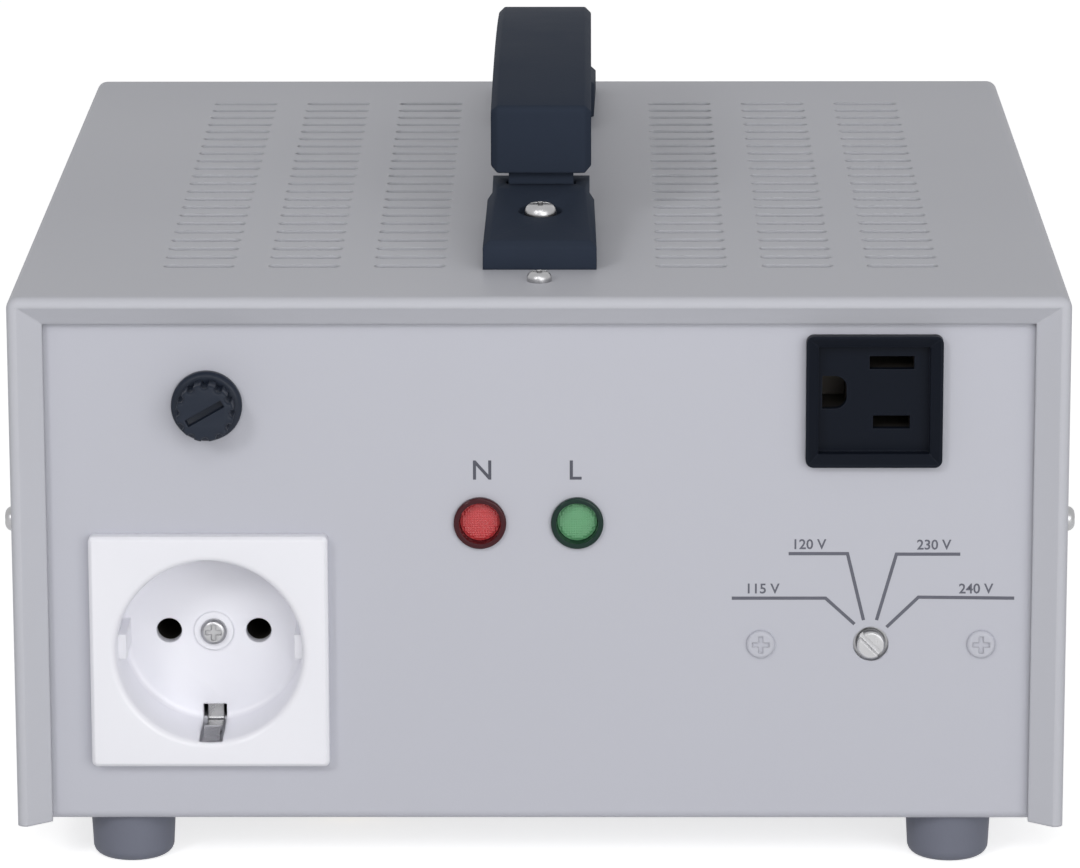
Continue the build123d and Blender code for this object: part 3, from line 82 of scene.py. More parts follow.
class Slot(Enum):
    """Material slots of the record."""

    CASE_GREY = "case_grey"
    PANEL_GREY = "panel_grey"
    ZINC = "zinc_steel"
    SPRING = "bright_spring"
    RUBBER = "foot_rubber"
    BLACK_MATTE = "black_plastic"
    BLACK_GLOSS = "black_gloss"
    WHITE = "white_plastic"
    BROWN = "brown_moulding"
    RED = "red_lens"
    GREEN = "green_lens"
    GLASS = "clear_glass"
    BRASS = "brass_contact"
    DARK = "dark_contact"
    CORE = "core_steel"
    WIRE = "enamel_wire"
    TAPE = "tape_amber"


def grey(red: int, green: int, blue: int) -> Colour:
    """Linear colour of an sRGB colour given in 0 to 255."""

    def linear(value: int) -> float:
        """One channel from sRGB to linear."""
        part = value / 255
        return part / 12.92 if part <= 0.04045 else ((part + 0.055) / 1.055) ** 2.4

    return (linear(red), linear(green), linear(blue))


class NodeSheet:
    """A node tree with short calls that add nodes and join them."""

    def __init__(self, tree: bpy.types.NodeTree) -> None:
        """Keep the tree and clear it.

        Args:
            tree: Tree of a material, a world or a group.
        """
        self.tree = tree
        tree.nodes.clear()

    def add(self, kind: str, **values: object) -> bpy.types.Node:
        """Add one node.

        Args:
            kind: Blender's name of the node's type.
            values: Properties of the node, or values of inputs named in lower case with underscores.

        Returns:
            The new node.
        """
        node = self.tree.nodes.new(kind)
        sockets = {socket.name.lower().replace(" ", "_"): socket for socket in reversed(node.inputs)}
        for key, value in values.items():
            if hasattr(node, key) and key not in sockets:
                setattr(node, key, value)
            elif isinstance(value, bpy.types.NodeSocket):
                self.tree.links.new(value, sockets[key])
            else:
                sockets[key].default_value = value
        return node

    def join(self, start: bpy.types.NodeSocket, end: bpy.types.NodeSocket) -> None:
        """Link an output to an input."""
        self.tree.links.new(start, end)

    def math(self, operation: str, first: object, second: object = 0.0) -> bpy.types.NodeSocket:
        """Add a math node.

        Args:
            operation: Name of the operation.
            first: Number or socket.
            second: Number or socket.

        Returns:
            The node's output.
        """
        node = self.tree.nodes.new("ShaderNodeMath")
        node.operation = operation
        for socket, value in zip(node.inputs, (first, second)):
            if isinstance(value, bpy.types.NodeSocket):
                self.tree.links.new(value, socket)
            else:
                socket.default_value = value
        return node.outputs[0]


class Effect(Enum):
    """Shared surface effects, each one node group."""

    GRAIN = "surface_grain"
    PATCHES = "patchy_tone"
    EDGES = "edge_mask"
    STRIPES = "fine_stripes"


class EffectLibrary:
    """Builds each shared node group once and hands it out."""

    def __init__(self) -> None:
        """Start with no groups built."""
        self.made: dict[Effect, bpy.types.NodeTree] = {}

    def get(self, effect: Effect) -> bpy.types.NodeTree:
        """Return the node group of an effect, building it the first time."""
        if effect not in self.made:
            builders = {
                Effect.GRAIN: self.build_grain,
                Effect.PATCHES: self.build_patches,
                Effect.EDGES: self.build_edges,
                Effect.STRIPES: self.build_stripes,
            }
            self.made[effect] = builders[effect]()
        return self.made[effect]

    @staticmethod
    def start(name: str, inputs: list[tuple[str, str, float]], outputs: list[tuple[str, str]]) -> tuple:
        """Make an empty group with its sockets.

        Args:
            name: Name of the group.
            inputs: Name, type and default of each input.
            outputs: Name and type of each output.

        Returns:
            The group's sheet, its input node and its output node.
        """
        tree = bpy.data.node_groups.new(name, "ShaderNodeTree")
        for label, kind, value in inputs:
            socket = tree.interface.new_socket(label, in_out="INPUT", socket_type=kind)
            if kind == "NodeSocketFloat":
                socket.default_value = value
        for label, kind in outputs:
            tree.interface.new_socket(label, in_out="OUTPUT", socket_type=kind)
        sheet = NodeSheet(tree)
        return sheet, sheet.add("NodeGroupInput"), sheet.add("NodeGroupOutput")

    def build_grain(self) -> bpy.types.NodeTree:
        """Fine grain of a moulded or sprayed surface, as a height and a mask."""
        sheet, given, result = self.start(
            Effect.GRAIN.value,
            [
                ("Vector", "NodeSocketVector", 0.0),
                ("Fineness", "NodeSocketFloat", 900.0),
                ("Softness", "NodeSocketFloat", 0.5),
            ],
            [("Height", "NodeSocketFloat"), ("Mask", "NodeSocketFloat")],
        )
        place, fineness = given.outputs["Vector"], given.outputs["Fineness"]
        noise = sheet.add("ShaderNodeTexNoise", vector=place, scale=fineness)
        noise.inputs["Detail"].default_value = 2.0
        sheet.join(given.outputs["Softness"], noise.inputs["Roughness"])
        cells = sheet.add("ShaderNodeTexVoronoi", vector=place, scale=fineness)
        pits = sheet.math("MULTIPLY", cells.outputs["Distance"], 0.35)
        height = sheet.math("ADD", noise.outputs["Fac"], pits)
        sheet.join(height, result.inputs["Height"])
        sheet.join(noise.outputs["Fac"], result.inputs["Mask"])
        return sheet.tree

    def build_patches(self) -> bpy.types.NodeTree:
        """Slow change of tone over a surface, as a colour and a mask."""
        sheet, given, result = self.start(
            Effect.PATCHES.value,
            [
                ("Vector", "NodeSocketVector", 0.0),
                ("Colour", "NodeSocketColor", 0.0),
                ("Amount", "NodeSocketFloat", 0.04),
                ("Fineness", "NodeSocketFloat", 18.0),
            ],
            [("Colour", "NodeSocketColor"), ("Mask", "NodeSocketFloat")],
        )
        place, fineness = given.outputs["Vector"], given.outputs["Fineness"]
        noise = sheet.add("ShaderNodeTexNoise", vector=place, scale=fineness)
        noise.inputs["Detail"].default_value = 3.0
        centred = sheet.math("SUBTRACT", noise.outputs["Fac"], 0.5)
        change = sheet.math("MULTIPLY", centred, given.outputs["Amount"])
        tone = sheet.math("ADD", sheet.math("MULTIPLY", change, 2.0), 1.0)
        scaled = sheet.add("ShaderNodeVectorMath", operation="SCALE")
        sheet.join(given.outputs["Colour"], scaled.inputs[0])
        sheet.join(tone, scaled.inputs["Scale"])
        sheet.join(scaled.outputs[0], result.inputs["Colour"])
        sheet.join(noise.outputs["Fac"], result.inputs["Mask"])
        return sheet.tree

    def build_edges(self) -> bpy.types.NodeTree:
        """Mask of the edges, from the difference between a rounded and a plain normal."""
        sheet, given, result = self.start(
            Effect.EDGES.value,
            [
                ("Rounded", "NodeSocketVector", 0.0),
                ("Plain", "NodeSocketVector", 0.0),
                ("Break Up", "NodeSocketFloat", 0.5),
                ("Strength", "NodeSocketFloat", 1.0),
            ],
            [("Mask", "NodeSocketFloat")],
        )
        dot = sheet.add("ShaderNodeVectorMath", operation="DOT_PRODUCT")
        sheet.join(given.outputs["Rounded"], dot.inputs[0])
        sheet.join(given.outputs["Plain"], dot.inputs[1])
        sharp = sheet.math("SUBTRACT", 1.0, dot.outputs["Value"])
        strong = sheet.math("MULTIPLY", sheet.math("MULTIPLY", sharp, 5.0), given.outputs["Strength"])
        # Strength of the painted edge highlight, broken up by the patches
        worn_and_lit = sheet.math("MULTIPLY", strong, sheet.math("ADD", given.outputs["Break Up"], 0.3))
        clean = sheet.add("ShaderNodeClamp", value=worn_and_lit)
        sheet.join(clean.outputs[0], result.inputs["Mask"])
        return sheet.tree

    def build_stripes(self) -> bpy.types.NodeTree:
        """Even fine stripes across one direction, as a height and a mask."""
        sheet, given, result = self.start(
            Effect.STRIPES.value,
            [
                ("Vector", "NodeSocketVector", 0.0),
                ("Pitch", "NodeSocketFloat", 0.0005),
                ("Unevenness", "NodeSocketFloat", 0.1),
            ],
            [("Height", "NodeSocketFloat"), ("Mask", "NodeSocketFloat")],
        )
        parts = sheet.add("ShaderNodeSeparateXYZ", vector=given.outputs["Vector"])
        noise = sheet.add("ShaderNodeTexNoise", vector=given.outputs["Vector"], scale=60.0)
        turns = sheet.math("DIVIDE", parts.outputs["Z"], given.outputs["Pitch"])
        shift = sheet.math("MULTIPLY", noise.outputs["Fac"], given.outputs["Unevenness"])
        phase = sheet.math("MULTIPLY", sheet.math("ADD", turns, shift), 2 * math.pi)
        wave = sheet.math("SINE", phase)
        lifted = sheet.math("MULTIPLY", sheet.math("ADD", wave, 1.0), 0.5)
        sheet.join(lifted, result.inputs["Height"])
        sheet.join(lifted, result.inputs["Mask"])
        return sheet.tree


EFFECTS = EffectLibrary()
MADE: dict[str, bpy.types.Material] = {}


@dataclass(frozen=True)
class Finish:
    """A plain finish: colour with slow patches, fine grain, softened edges, and edges mixed towards a
    lighter colour as a painted highlight with a little wear.
    """

    name: str
    colour: Colour
    roughness: float = 0.5
    roughness_change: float = 0.08
    metallic: float = 0.0
    specular: float = 0.5
    patch_amount: float = 0.03
    patch_fineness: float = 14.0
    grain_fineness: float = 900.0
    grain_height: float = 0.00002
    grain_strength: float = 0.25
    edge_radius: float = 0.00035
    edge_colour: Colour = (1.0, 1.0, 1.0)
    edge_amount: float = 0.0
    coat: float = 0.0

    def build(self) -> bpy.types.Material:
        """Build the material the first time, and return it.

        Returns:
            The finished material.
        """
        if self.name in MADE:
            return MADE[self.name]
        material = bpy.data.materials.new(f"{self.name}_finish")
        MADE[self.name] = material
        material.use_nodes = True
        sheet = NodeSheet(material.node_tree)
        shader = sheet.add("ShaderNodeBsdfPrincipled")
        shader.inputs["Specular IOR Level"].default_value = self.specular
        shader.inputs["Metallic"].default_value = self.metallic
        shader.inputs["Coat Weight"].default_value = self.coat
        self.paint(sheet, shader)
        self.finish_shader(shader)
        output = sheet.add("ShaderNodeOutputMaterial")
        sheet.join(shader.outputs["BSDF"], output.inputs["Surface"])
        material.diffuse_color = (*self.colour, 1.0)
        return material

    def place(self, sheet: NodeSheet) -> bpy.types.NodeSocket:
        """Coordinates that the pattern follows."""
        return sheet.add("ShaderNodeTexCoord").outputs["Object"]

    def paint(self, sheet: NodeSheet, shader: bpy.types.Node) -> None:
        """Feed colour, roughness and normal of the shader.

        Args:
            sheet: The material's sheet.
            shader: The material's shader node.
        """
        place = self.place(sheet)
        patches = sheet.add("ShaderNodeGroup", node_tree=EFFECTS.get(Effect.PATCHES))
        sheet.join(place, patches.inputs["Vector"])
        patches.inputs["Colour"].default_value = (*self.colour, 1.0)
        patches.inputs["Amount"].default_value = self.patch_amount
        patches.inputs["Fineness"].default_value = self.patch_fineness
        grain = sheet.add("ShaderNodeGroup", node_tree=EFFECTS.get(Effect.GRAIN))
        sheet.join(place, grain.inputs["Vector"])
        grain.inputs["Fineness"].default_value = self.grain_fineness
        rounded = sheet.add("ShaderNodeBevel", samples=4, radius=self.edge_radius)
        edges = sheet.add("ShaderNodeGroup", node_tree=EFFECTS.get(Effect.EDGES))
        sheet.join(rounded.outputs["Normal"], edges.inputs["Rounded"])
        sheet.join(sheet.add("ShaderNodeNewGeometry").outputs["Normal"], edges.inputs["Plain"])
        sheet.join(patches.outputs["Mask"], edges.inputs["Break Up"])
        edges.inputs["Strength"].default_value = self.edge_amount
        # Painted highlight with a little wear: the edges are mixed towards a lighter colour, as if they
        # caught the light
        mix = sheet.add("ShaderNodeMix", data_type="RGBA")
        sheet.join(edges.outputs["Mask"], mix.inputs[0])
        sheet.join(patches.outputs["Colour"], mix.inputs[6])
        mix.inputs[7].default_value = (*self.edge_colour, 1.0)
        sheet.join(mix.outputs[2], shader.inputs["Base Color"])
        centred = sheet.math("SUBTRACT", patches.outputs["Mask"], 0.5)
        change = sheet.math("MULTIPLY", centred, 2 * self.roughness_change)
        sheet.join(sheet.math("ADD", change, self.roughness), shader.inputs["Roughness"])
        bump = sheet.add("ShaderNodeBump", strength=self.grain_strength, distance=self.grain_height)
        sheet.join(grain.outputs["Height"], bump.inputs["Height"])
        sheet.join(rounded.outputs["Normal"], bump.inputs["Normal"])
        sheet.join(bump.outputs["Normal"], shader.inputs["Normal"])

    def finish_shader(self, shader: bpy.types.Node) -> None:
        """Set what only some finishes have; a plain finish has nothing more."""


@dataclass(frozen=True)
class LensFinish(Finish):
    """Tinted clear plastic that lets part of the light through."""

    transmission: float = 0.1
    ior: float = 1.49

    def finish_shader(self, shader: bpy.types.Node) -> None:
        """Set the transmission and the index of refraction."""
        shader.inputs["Transmission Weight"].default_value = self.transmission
        shader.inputs["IOR"].default_value = self.ior


@dataclass(frozen=True)
class BrushedFinish(Finish):
    """Metal with fine marks drawn along one direction."""

    stretch: tuple[float, float, float] = (1.0, 1.0, 12.0)

    def place(self, sheet: NodeSheet) -> bpy.types.NodeSocket:
        """Coordinates stretched along the brushing."""
        mapping = sheet.add("ShaderNodeMapping", vector=sheet.add("ShaderNodeTexCoord").outputs["Object"])
        mapping.inputs["Scale"].default_value = self.stretch
        return mapping.outputs["Vector"]


@dataclass(frozen=True)
class StripedFinish(Finish):
    """A stack of sheets or turns of wire: fine stripes turned to lie across a direction."""

    pitch: float = 0.0005
    turn: tuple[float, float, float] = (0.0, 0.0, 0.0)
    dark: float = 0.55

    def paint(self, sheet: NodeSheet, shader: bpy.types.Node) -> None:
        """Feed the shader with stripes in colour and height.

        Args:
            sheet: The material's sheet.
            shader: The material's shader node.
        """
        mapping = sheet.add("ShaderNodeMapping", vector=sheet.add("ShaderNodeTexCoord").outputs["Object"])
        mapping.inputs["Rotation"].default_value = self.turn
        stripes = sheet.add("ShaderNodeGroup", node_tree=EFFECTS.get(Effect.STRIPES))
        sheet.join(mapping.outputs["Vector"], stripes.inputs["Vector"])
        stripes.inputs["Pitch"].default_value = self.pitch
        mix = sheet.add("ShaderNodeMix", data_type="RGBA")
        sheet.join(stripes.outputs["Mask"], mix.inputs[0])
        mix.inputs[6].default_value = (*[self.dark * value for value in self.colour], 1.0)
        mix.inputs[7].default_value = (*self.colour, 1.0)
        sheet.join(mix.outputs[2], shader.inputs["Base Color"])
        rough = sheet.math("MULTIPLY", stripes.outputs["Mask"], -self.roughness_change)
        sheet.join(sheet.math("ADD", rough, self.roughness), shader.inputs["Roughness"])
        bump = sheet.add("ShaderNodeBump", strength=self.grain_strength, distance=self.grain_height)
        sheet.join(stripes.outputs["Height"], bump.inputs["Height"])
        sheet.join(bump.outputs["Normal"], shader.inputs["Normal"])


# Its lighter edge colour at half strength paints the highlight along the cover's front top bend
CASE_GREY = Finish(
    Slot.CASE_GREY.value,
    grey(194, 195, 202),
    roughness=0.5,
    specular=0.15,
    patch_amount=0.018,
    patch_fineness=9.0,
    grain_fineness=1500.0,
    grain_height=0.00003,
    grain_strength=0.35,
    edge_radius=0.0007,
    edge_colour=grey(224, 225, 230),
    edge_amount=0.5,
)
PANEL_GREY = Finish(
    Slot.PANEL_GREY.value,
    grey(188, 189, 198),
    roughness=0.5,
    patch_amount=0.015,
    patch_fineness=9.0,
    grain_fineness=1600.0,
    grain_height=0.00003,
    grain_strength=0.3,
    edge_colour=grey(205, 206, 212),
    edge_amount=0.2,
)
ZINC = BrushedFinish(
    Slot.ZINC.value,
    (0.4, 0.4, 0.41),
    roughness=0.34,
    roughness_change=0.16,
    metallic=1.0,
    patch_amount=0.12,
    patch_fineness=260.0,
    grain_fineness=700.0,
    stretch=(1.0, 1.0, 3.0),
)
SPRING = BrushedFinish(
    Slot.SPRING.value,
    (0.46, 0.46, 0.47),
    roughness=0.26,
    roughness_change=0.1,
    metallic=1.0,
    patch_amount=0.08,
    patch_fineness=300.0,
    stretch=(1.0, 6.0, 1.0),
)
RUBBER = Finish(
    Slot.RUBBER.value,
    grey(110, 113, 126),
    roughness=0.6,
    specular=0.35,
    patch_amount=0.1,
    patch_fineness=80.0,
    grain_fineness=1200.0,
    grain_height=0.00006,
    grain_strength=0.5,
    edge_colour=grey(120, 120, 124),
    edge_amount=0.4,
)
BLACK_MATTE = Finish(
    Slot.BLACK_MATTE.value,
    grey(49, 56, 69),
    roughness=0.55,
    specular=0.01,
    patch_amount=0.08,
    patch_fineness=60.0,
    grain_fineness=1300.0,
    grain_height=0.00006,
    grain_strength=0.5,
    edge_radius=0.0006,
    edge_colour=grey(66, 74, 88),
    edge_amount=0.3,
)
BLACK_GLOSS = Finish(
    Slot.BLACK_GLOSS.value,
    grey(30, 37, 50),
    roughness=0.36,
    specular=0.2,
    patch_amount=0.05,
    patch_fineness=70.0,
    grain_fineness=1400.0,
    grain_height=0.00002,
    edge_colour=grey(58, 62, 72),
    edge_amount=0.3,
)
BLACK_MOULDING = Finish(
    "black_moulding",
    grey(14, 19, 29),
    roughness=0.42,
    specular=0.08,
    patch_amount=0.05,
    patch_fineness=70.0,
    grain_fineness=1400.0,
    grain_height=0.00002,
    edge_colour=grey(60, 66, 76),
    edge_amount=0.35,
)
WHITE = Finish(
    Slot.WHITE.value,
    grey(238, 238, 244),
    roughness=0.3,
    roughness_change=0.05,
    patch_amount=0.01,
    patch_fineness=30.0,
    grain_fineness=1100.0,
    grain_height=0.00001,
    edge_radius=0.0005,
    coat=0.05,
)
BROWN = Finish(
    Slot.BROWN.value,
    grey(88, 56, 40),
    roughness=0.45,
    patch_amount=0.15,
    patch_fineness=90.0,
    grain_fineness=900.0,
    edge_colour=grey(130, 95, 75),
    edge_amount=0.4,
)
# Painted shade: the lens body is a much darker copy of the red of its face, standing for the shade in its
# ring
RED = LensFinish(
    Slot.RED.value,
    grey(64, 9, 20),
    roughness=0.16,
    specular=0.2,
    patch_amount=0.06,
    patch_fineness=200.0,
    grain_fineness=900.0,
    edge_colour=grey(96, 30, 40),
    edge_amount=0.3,
)
# Painted shade: the lens body is a much darker copy of the green of its face, standing for the shade in its
# ring
GREEN = LensFinish(
    Slot.GREEN.value,
    grey(7, 42, 34),
    roughness=0.16,
    specular=0.2,
    patch_amount=0.06,
    patch_fineness=200.0,
    grain_fineness=900.0,
    edge_colour=grey(30, 76, 60),
    edge_amount=0.3,
)
# Painted light: a lit, brighter copy of the lens red, on the pyramids of the face
RED_LIT_PATTERN = LensFinish(
    "red_lens_pattern",
    grey(206, 62, 66),
    roughness=0.25,
    transmission=0.1,
    patch_amount=0.08,
    patch_fineness=300.0,
    grain_fineness=900.0,
)
# Painted light: a lit, brighter copy of the lens green, on the pyramids of the face
GREEN_LIT_PATTERN = LensFinish(
    "green_lens_pattern",
    grey(104, 172, 122),
    roughness=0.25,
    transmission=0.1,
    patch_amount=0.08,
    patch_fineness=300.0,
    grain_fineness=900.0,
)
GLASS = LensFinish(
    Slot.GLASS.value,
    (0.9, 0.92, 0.92),
    roughness=0.05,
    roughness_change=0.02,
    transmission=0.95,
    patch_amount=0.02,
)
BRASS = BrushedFinish(
    Slot.BRASS.value,
    (0.78, 0.58, 0.25),
    roughness=0.28,
    roughness_change=0.12,
    metallic=1.0,
    patch_amount=0.1,
    patch_fineness=220.0,
)
# Painted shade: the contacts are near black, standing for the shade deep inside the outlet's holes
DARK = BrushedFinish(
    Slot.DARK.value,
    (0.05, 0.045, 0.04),
    roughness=0.5,
    roughness_change=0.1,
    metallic=0.6,
    specular=0.2,
    patch_amount=0.1,
    patch_fineness=220.0,
)
CORE = StripedFinish(
    Slot.CORE.value,
    (0.2, 0.19, 0.19),
    roughness=0.5,
    roughness_change=0.15,
    metallic=0.6,
    pitch=0.0006,
    turn=(math.pi / 2, 0.0, 0.0),
    grain_height=0.0001,
    grain_strength=0.8,
)
WIRE = StripedFinish(
    Slot.WIRE.value,
    (0.42, 0.15, 0.05),
    roughness=0.32,
    roughness_change=0.1,
    pitch=0.0016,
    grain_height=0.0003,
    grain_strength=1.0,
)
TAPE = Finish(
    Slot.TAPE.value,
    (0.62, 0.4, 0.1),
    roughness=0.25,
    patch_amount=0.2,
    patch_fineness=120.0,
    grain_fineness=300.0,
    coat=0.3,
)
INK = Finish(
    "panel_ink",
    grey(92, 93, 104),
    roughness=0.6,
    patch_amount=0.15,
    patch_fineness=500.0,
    grain_fineness=2500.0,
    edge_radius=0.00005,
)
BLACK_INK = Finish(
    "dark_ink",
    grey(74, 75, 86),
    roughness=0.6,
    patch_amount=0.15,
    patch_fineness=500.0,
    grain_fineness=2500.0,
    edge_radius=0.00005,
)

FINISHES: dict[str, Finish] = {
    finish.name: finish
    for finish in (
        CASE_GREY, PANEL_GREY, ZINC, SPRING, RUBBER, BLACK_MATTE, BLACK_GLOSS, WHITE,
        BROWN, RED, GREEN, GLASS, BRASS, DARK, CORE, WIRE, TAPE,
    )
}


class Bench:
    """Modelling tools: operators called on one piece at a time, with nothing else selected."""

    @staticmethod
    def clear() -> None:
        """Leave edit mode and deselect everything."""
        if bpy.context.object is not None and bpy.context.object.mode != "OBJECT":
            bpy.ops.object.mode_set(mode="OBJECT")
        bpy.ops.object.select_all(action="DESELECT")

    @staticmethod
    def take(piece: bpy.types.Object) -> None:
        """Select one piece and make it active."""
        Bench.clear()
        piece.select_set(True)
        bpy.context.view_layer.objects.active = piece

    @staticmethod
    def edit(piece: bpy.types.Object, mode: str = "FACE") -> None:
        """Go into edit mode on one piece with nothing selected.

        Args:
            piece: The piece.
            mode: VERT, EDGE or FACE.
        """
        Bench.take(piece)
        bpy.ops.object.mode_set(mode="EDIT")
        bpy.ops.mesh.select_mode(type=mode)
        bpy.ops.mesh.select_all(action="DESELECT")

    @staticmethod
    def pick_faces(piece: bpy.types.Object, wanted: Callable[[Vector, Vector], bool]) -> None:
        """Select the faces of a piece in edit mode that a test wants.

        Args:
            piece: The piece, in edit mode.
            wanted: Function of a face's centre and normal that says whether it is taken.
        """
        bpy.ops.object.mode_set(mode="OBJECT")
        for face in piece.data.polygons:
            face.select = wanted(face.center, face.normal)
        bpy.ops.object.mode_set(mode="EDIT")

    @staticmethod
    def settle(piece: bpy.types.Object, smooth_angle: float) -> None:
        """Put the piece's place into its mesh, set its faces outwards and shade it.

        Args:
            piece: The piece.
            smooth_angle: Edges flatter than this many degrees are shaded smooth.
        """
        Bench.take(piece)
        bpy.ops.object.transform_apply(location=True, rotation=True, scale=True)
        bpy.ops.object.mode_set(mode="EDIT")
        bpy.ops.mesh.select_all(action="SELECT")
        bpy.ops.mesh.remove_doubles(threshold=MERGE_NEW)
        bpy.ops.mesh.normals_make_consistent(inside=False)
        bpy.ops.object.mode_set(mode="OBJECT")
        bpy.ops.object.shade_smooth_by_angle(angle=math.radians(smooth_angle))

    @staticmethod
    def modify(piece: bpy.types.Object, kind: str, **values: object) -> None:
        """Add a modifier, set it and apply it.

        Args:
            piece: The piece.
            kind: Blender's type of the modifier.
            values: Its settings.
        """
        Bench.take(piece)
        modifier = piece.modifiers.new(kind.lower(), kind)
        for key, value in values.items():
            setattr(modifier, key, value)
        bpy.ops.object.modifier_apply(modifier=modifier.name)

    @staticmethod
    def dress(piece: bpy.types.Object, finish: Finish) -> None:
        """Give a piece one finish all over."""
        piece.data.materials.clear()
        piece.data.materials.append(finish.build())

    @staticmethod
    def seat(
        piece: bpy.types.Object, name: str, finish: Finish, body: Body, slot: Slot | None = None
    ) -> bpy.types.Object:
        """Name, dress and mount a new piece.

        Args:
            piece: The piece, in its place.
            name: Its name.
            finish: Its finish.
            body: The body it rides on.
            slot: Not used.

        Returns:
            The piece.
        """
        piece.name = name
        piece.data.name = name
        Bench.dress(piece, finish)
        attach(piece, body.value)
        LOG.info("piece %s", name)
        return piece

    @staticmethod
    def softened(
        node: str, name: str, finish: Finish, body: Body, width: float, segments: int = 2
    ) -> bpy.types.Object:
        """Copy a moulded node, merge it, and round its edges.

        Args:
            node: Node of the frame.
            name: Name of the new piece.
            finish: Its finish.
            body: The body it rides on.
            width: Width of the rounding, in metres.
            segments: Steps across each rounded edge.

        Returns:
            The new piece, which stands for the node.
        """
        source = frame["nodes"][node]
        piece = bpy.data.objects.new(name, source.data.copy())
        bpy.context.scene.collection.objects.link(piece)
        Bench.edit(piece)
        bpy.ops.mesh.select_all(action="SELECT")
        bpy.ops.mesh.remove_doubles(threshold=MERGE_COPY)
        bpy.ops.mesh.dissolve_limited(angle_limit=math.radians(FLAT_ANGLE))
        bpy.ops.object.mode_set(mode="OBJECT")
        Bench.modify(
            piece, "BEVEL", width=width, segments=segments, limit_method="ANGLE",
            angle_limit=math.radians(SMOOTH_ANGLE), use_clamp_overlap=True, miter_outer="MITER_ARC",
        )
        Bench.take(piece)
        bpy.ops.object.shade_smooth_by_angle(angle=math.radians(SMOOTH_ANGLE))
        Bench.seat(piece, name, finish, body)
        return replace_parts(piece, node)


def dress_nodes(*nodes: str) -> None:
    """Give nodes that stay in view the finish of their slot in the record.

    Args:
        nodes: Names of nodes.
    """
    slots = {row["node"]: row["material_slot"] for row in frame["record"]["subparts"]}
    for node in nodes:
        frame["nodes"][node].material_slots[0].material = FINISHES[slots[node]].build()
        LOG.info("node %s", node)


@dataclass
class Case:
    """Folded cover, chassis, their screws and the feet."""

    nodes: tuple[str, ...] = (
        "cover", "chassis", "cover_side_screws", "cover_top_screw",
        "rubber_feet", "foot_screws", "foot_nuts",
    )

    def build(self) -> None:
        """Dress the case."""
        dress_nodes(*self.nodes)


@dataclass
class CarryHandle:
    """Bow handle with its two end caps."""

    rounding: float = 0.4 * MM

    def build(self) -> None:
        """Round the moulded pieces and dress the metal ones."""
        Bench.softened("handle_grip", "handle_grip_moulded", BLACK_MATTE, Body.HANDLE, self.rounding, 3)
        Bench.softened("handle_end_front", "handle_end_front_moulded", BLACK_MATTE, Body.ROOT, self.rounding)
        Bench.softened("handle_end_rear", "handle_end_rear_moulded", BLACK_MATTE, Body.ROOT, self.rounding)
        dress_nodes("handle_strap", "handle_screws", "handle_nuts")


@dataclass
class RoundOutlet:
    """Earthed round outlet with its contacts."""

    rounding: float = 0.35 * MM

    def build(self) -> None:
        """Round the moulded front and dress the rest."""
        Bench.softened("outlet_front", "outlet_front_moulded", WHITE, Body.ROOT, self.rounding, 3)
        dress_nodes(
            "outlet_base", "outlet_contacts", "outlet_earth_clip", "outlet_screw", "outlet_fixing_ring",
        )


@dataclass
class BladeOutlet:
    """Outlet for flat blades."""

    nodes: tuple[str, ...] = ("blade_housing", "blade_contacts", "blade_back_plate")

    def build(self) -> None:
        """Dress the outlet, with a deeper black on its housing."""
        dress_nodes(*self.nodes)
        frame["nodes"]["blade_housing"].material_slots[0].material = BLACK_MOULDING.build()


@dataclass
class FuseHolder:
    """Panel fuse holder, its cap and the link."""

    rounding: float = 0.2 * MM

    def build(self) -> None:
        """Round the moulded pieces and dress the rest."""
        Bench.softened("fuse_holder", "fuse_holder_moulded", BLACK_GLOSS, Body.ROOT, self.rounding)
        Bench.softened("fuse_cap", "fuse_cap_moulded", BLACK_GLOSS, Body.FUSE_TURN, self.rounding)
        dress_nodes(
            "fuse_holder_nut", "fuse_holder_tags", "fuse_carrier", "fuse_link_ends", "fuse_link_tube",
        )


